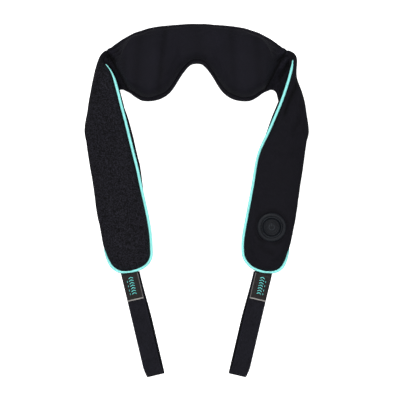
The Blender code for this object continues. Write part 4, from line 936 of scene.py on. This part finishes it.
for word, sx in (("left", -1), ("right", 1)):
    end = STRAP_L - 3.4
    line = [(0, 8.6), (12, 8.3), (28, 7.8), (48, 7.5), (80, 7.4), (120, 7.4), (end, 7.4)]
    bend = [(end + 3.35 * math.sin(t), 4.05 + 3.35 * math.cos(t)) for t in np.linspace(0.35, math.pi - 0.35, 7)]
    back = [(end, 0.75), (120, 0.75), (80, 0.75), (48, 0.75), (28, 1.6), (12, 4.6), (0, 6.8)]
    keys = np.array([(*p, 0.0) for p in line + bend + back])
    path = resample(keys, 300)[:, :2]
    d = np.gradient(path, axis=0)
    d /= np.linalg.norm(d, axis=1)[:, None]
    nn = np.column_stack([-d[:, 1], d[:, 0]])
    prof = [(b, h) for b, h in ((-14, 0), (-13.8, 0.42), (-13.2, 0.66), (-11.8, 0.58))] + [(b, 0.62) for b in np.linspace(-10.4, 10.4, 9)] + [(11.8, 0.58), (13.2, 0.66), (13.8, 0.42), (14, 0)]
    prof += [(b, -h) for b, h in prof[-2:0:-1]]
    lay = 0.5 - smooth((np.arange(300) - 132) / 22.0) * (1.4 + 2.0 * smooth((285 - np.arange(300)) / 60.0)) - 0.5 * np.minimum(np.arange(300), 150) / 150.0
    verts, uv = [], []
    arc = np.concatenate([[0], np.cumsum(np.linalg.norm(np.diff(path, axis=0), axis=1))])
    for k, (a, z) in enumerate(path):
        for b, h in prof:
            verts.append(strap_point(a + nn[k, 0] * h, b + lay[k], max(z + nn[k, 1] * h, 0.05), sx))
            uv.append((arc[k], b))
    m = len(prof)
    faces = [(i * m + j, i * m + (j + 1) % m, (i + 1) * m + (j + 1) % m, (i + 1) * m + j) for i in range(299) for j in range(m)]
    faces += [tuple(range(m)), tuple(range(299 * m, 300 * m))[::-1]]
    piece = to_object(f"{word}_webbing_loop", verts, faces, [WEB], np.array(uv))
    fix_outward(piece)
    # painted shadow: the loop's lower layer, under the upper one, is darkened
    shade = piece.data.attributes.new("Depth", "FLOAT", "POINT")
    shade.data.foreach_set("value", np.repeat(-0.8 * smooth((np.arange(300) - 146) / 8.0), m).astype(np.float32))
    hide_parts(f"{word}_hand_strap")
    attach(piece, f"{word}_strap")

def strap_prism(name, outline, z_of, low, high, sx, mat, body, edge=0.0):
    """A flat piece lying on the strap: outline in (along, across), z_of(along) is the strap's top there."""
    outline = np.asarray(outline, float)
    mid = outline.mean(axis=0)
    rows = []
    for inset, lift in ((0.0, low), (0.0, high - edge), (edge, high)):
        pull = outline + (mid - outline) / np.maximum(np.linalg.norm(mid - outline, axis=1), 1e-6)[:, None] * inset
        rows += [strap_point(a, b, z_of(a) + lift, sx) for a, b in pull]
    n = len(outline)
    faces = [tuple(range(n)), tuple(range(2 * n, 3 * n))[::-1]]
    for k in range(2):
        faces += [(k * n + j, (k + 1) * n + j, (k + 1) * n + (j + 1) % n, k * n + (j + 1) % n) for j in range(n)]
    obj = to_object(name, rows, faces, [mat], np.tile(outline, (3, 1)), smooth_shade=False)
    fix_outward(obj)
    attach(obj, body)
    return obj


def strap_top(a):
    return float(np.interp(a, [-8, 0, 12, 28, 48, 80], [9.1, 8.9, 8.6, 8.1, 7.8, 7.7])) + 0.4


def rectangle(a0, a1, b0, b1, n=9):
    """Outline with points along the long sides, so that it follows the strap's slope."""
    down = [(a, b0) for a in np.linspace(a0, a1, n)]
    return down + [(a, b1) for a in np.linspace(a1, a0, n)]


for word, sx in (("left", -1), ("right", 1)):
    body = f"{word}_strap"
    side = 1  # mirrored with the strap, so the bright edge is on the inner side of one label and the outer of the other
    label = strap_prism(f"{word}_satin_label", rectangle(0.6, 43.0, -11.9, 13.5), strap_top, 0.15, 1.35, sx, SATIN, body, 0.35)
    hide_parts(f"{word}_label")
    strap_prism(f"{word}_label_hem", rectangle(41.3, 43.2, -12.0, 13.6), strap_top, 0.2, 1.75, sx, SATIN_EDGE, body, 0.2)
    strap_prism(f"{word}_label_side", rectangle(1.0, 42.0, -12.2, -11.1), strap_top, 0.2, 1.65, sx, SATIN_SIDE, body, 0.2)
    # a generic woven motif: a row of chevrons and dashes along the label
    k = 0
    for a in np.arange(5.5, 33.0, 4.2):
        for sgn in (-1, 1):
            pts = [(a, 0.6), (a + 1.15, 0.6), (a + 3.1, 0.6 + sgn * 3.6), (a + 1.95, 0.6 + sgn * 3.6)]
            if sgn < 0:
                pts = pts[::-1]
            strap_prism(f"{word}_motif_{k}", pts, strap_top, 1.2, 1.62, sx, TEAL, body, 0.08)
            k += 1
    for a in (11.0, 18.0, 25.0, 31.0):
        strap_prism(f"{word}_motif_{k}", [(a, 6.6), (a, 7.4), (a + 2.6, 7.4), (a + 2.6, 6.6)], strap_top, 1.2, 1.62, sx, TEAL, body, 0.08)
        k += 1
    # the webbing's sewn root under the piping, which stays with the arm
    strap_prism(f"{word}_strap_root", rectangle(-8.5, -0.25, -13.6, 14.4, 5), lambda a: 7.2, -1.0, 1.9, sx, WEB, f"{word}_arm", 0.3)
    strap_prism(f"{word}_label_root", rectangle(-6.5, 0.2, -11.8, 13.4, 5), lambda a: 9.1, 0.1, 1.3, sx, SATIN, f"{word}_arm", 0.3)

# ------------------------------------------------------------------ control button
cx, cy = CONTROL
bezel = lathe("control_ring", [(17.3, 22.0), (18.6, 22.0), (18.6, 24.0), (21.4, 24.0), (22.3, 24.2), (22.9, 24.8), (22.9, 25.7), (22.5, 26.5), (21.8, 27.0), (20.9, 27.25), (19.6, 27.35), (18.4, 27.3), (17.7, 27.1), (17.3, 26.7)], CONTROL, RING)
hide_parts("control_bezel")
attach(bezel, "right_arm")
profile = [(0, 18.6), (3, 18.6), (3, 23.4), (16.2, 23.4), (16.9, 23.8), (17.0, 25.0), (17.0, 26.6), (16.7, 26.95), (16.2, 27.05), (15.3, 26.95), (14.7, 26.6), (14.3, 25.9), (14.0, 25.1), (13.6, 24.9),
           (13.2, 25.2), (12.8, 25.75), (12.1, 25.95), (11.3, 25.85), (10.7, 25.45), (10.3, 25.3), (9.9, 25.5), (9.3, 25.8), (8.4, 25.8), (7.8, 25.5), (7.4, 25.35), (7.0, 25.5), (6.4, 25.7), (3.0, 25.75), (0, 25.7)]
button = lathe("power_button_cap", profile, CONTROL, PLASTIC)
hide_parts("power_button")
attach(button, "button")


def arc_bar(name, centre, r, a0, a1, width, z0, z1, mat):
    """A flat raised bar along an arc."""
    ang = np.radians(np.linspace(a0, a1, max(4, int(abs(a1 - a0) / 6))))
    verts = []
    for a in ang:
        d = np.array([math.cos(a), math.sin(a)])
        for rr, z in ((r - width / 2, z0), (r + width / 2, z0), (r + width / 2 - 0.12, z1), (r - width / 2 + 0.12, z1)):
            verts.append((centre[0] + d[0] * rr, centre[1] + d[1] * rr, z))
    n = len(ang)
    faces = [(i * 4 + j, i * 4 + (j + 1) % 4, (i + 1) * 4 + (j + 1) % 4, (i + 1) * 4 + j) for i in range(n - 1) for j in range(4)]
    faces += [(0, 1, 2, 3), tuple(range(4 * n - 4, 4 * n))[::-1]]
    v = np.array(verts)
    obj = to_object(name, v, faces, [mat], v[:, :2], smooth_shade=False)
    fix_outward(obj)
    return obj


for name, r, a0, a1, w, z0, z1 in (("icon_ring", 4.3, 125, 415, 0.9, 25.5, 26.05), ("outer_arc_upper", 15.9, 35, 145, 0.6, 26.8, 27.25), ("outer_arc_lower", 15.9, 215, 325, 0.6, 26.8, 27.25)):
    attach(arc_bar(name, CONTROL, r, a0, a1, w, z0, z1, ICON), "button")
stem = np.array([(cx - 0.45, cy + 1.6), (cx + 0.45, cy + 1.6), (cx + 0.45, cy + 6.0), (cx - 0.45, cy + 6.0)])
v = np.array([(*p, z) for z in (25.5, 26.05) for p in stem])
icon_bar = to_object("icon_bar", v, [(0, 3, 2, 1), (4, 5, 6, 7), (0, 1, 5, 4), (1, 2, 6, 5), (2, 3, 7, 6), (3, 0, 4, 7)], [ICON], v[:, :2], smooth_shade=False)
fix_outward(icon_bar)
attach(icon_bar, "button")
grommet = lathe("port_ring", [(5.0, 0.7), (6.4, 0.7), (6.6, 0.95), (6.6, 2.7), (6.3, 3.0), (5.0, 3.0), (4.9, 2.6), (4.9, 1.0)], CONTROL, RUBBER, 64)
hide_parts("port_grommet")
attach(grommet, "right_arm")

# ------------------------------------------------------------------ materials of the pieces that stay as the frame has them
KIND = {
    "screw": "steel", "shaft": "steel", "worm_shaft": "steel", "motor_can": "steel", "motor_magnet": "steel", "motor_rotor": "steel", "nut": "steel",
    "bush": "bronze", "wheel": "nylon", "worm": "bronze", "head": "head", "chassis": "plastic", "clamp": "steel", "bell": "plastic", "carrier": "nylon",
    "cell": "cell", "strip": "steel", "board": "board", "case": "plastic", "switch": "plastic", "port": "steel", "grommet": "plastic", "lead": "wire", "foam": "foam",
}
ORDER = ["worm_shaft", "motor_can", "motor_magnet", "motor_rotor", "wheel", "bush", "screw", "nut", "head", "chassis", "clamp", "bell", "carrier", "cell", "strip",
         "board", "case", "switch", "grommet", "port", "lead", "foam", "shaft", "worm"]
for name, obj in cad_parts.items():
    if obj.hide_render:
        continue
    kind = next((KIND[k] for k in ORDER if k in name), "plastic")
    if "label" in name:
        obj.data.materials.clear()
        obj.data.materials.append(SATIN)
        continue
    obj.data.materials.clear()
    obj.data.materials.append(INNER[kind])

# ------------------------------------------------------------------ floor, light and camera
floor = to_object("studio_floor", [(-3000, -3000, -0.4), (3000, -3000, -0.4), (3000, 3000, -0.4), (-3000, 3000, -0.4)], [(0, 1, 2, 3)], [], None, None, False)
fm = Nodes("pale_floor")
fm.set(Base_Color=(0.92, 0.92, 0.92, 1), Roughness=0.85, Emission_Color=(1, 1, 1, 1), Emission_Strength=0.95, Specular_IOR_Level=0.1)
floor.data.materials.append(fm.mat)
floor.visible_diffuse = False
floor.visible_glossy = False

world = bpy.data.worlds.new("studio")
bpy.context.scene.world = world
world.use_nodes = True
world.node_tree.nodes["Background"].inputs[0].default_value = (0.96, 0.98, 1.0, 1)
world.node_tree.nodes["Background"].inputs[1].default_value = 0.32


def area(name, at, aim, size, power, color=(1, 1, 1)):
    light = bpy.data.lights.new(name, "AREA")
    light.shape = "RECTANGLE"
    light.size, light.size_y = size
    light.energy = power
    light.color = color
    obj = bpy.data.objects.new(name, light)
    bpy.context.scene.collection.objects.link(obj)
    obj.location = at
    obj.rotation_euler = (Vector(aim) - Vector(at)).to_track_quat("-Z", "Y").to_euler()
    return obj


area("key", (-0.35, 0.75, 1.7), (0, 0.08, 0), (0.9, 0.7), 19, (1, 0.99, 0.98))
area("fill", (0.9, -0.1, 1.6), (0, 0.0, 0), (1.0, 1.0), 8, (0.95, 0.97, 1.0))
area("low", (-0.3, -1.0, 1.5), (0, -0.05, 0), (1.2, 0.6), 8)

camera = bpy.data.cameras.new("camera")
cam = bpy.data.objects.new("camera", camera)
bpy.context.scene.collection.objects.link(cam)
cam.location = (0.00544, 0.0016, 2.0)
cam.rotation_euler = (0, 0, 0)
camera.sensor_width = 36
camera.lens = 36 * 1.995 / 0.640
camera.clip_start, camera.clip_end = 0.01, 20
bpy.context.scene.camera = cam
bpy.context.scene.view_settings.view_transform = "Standard"
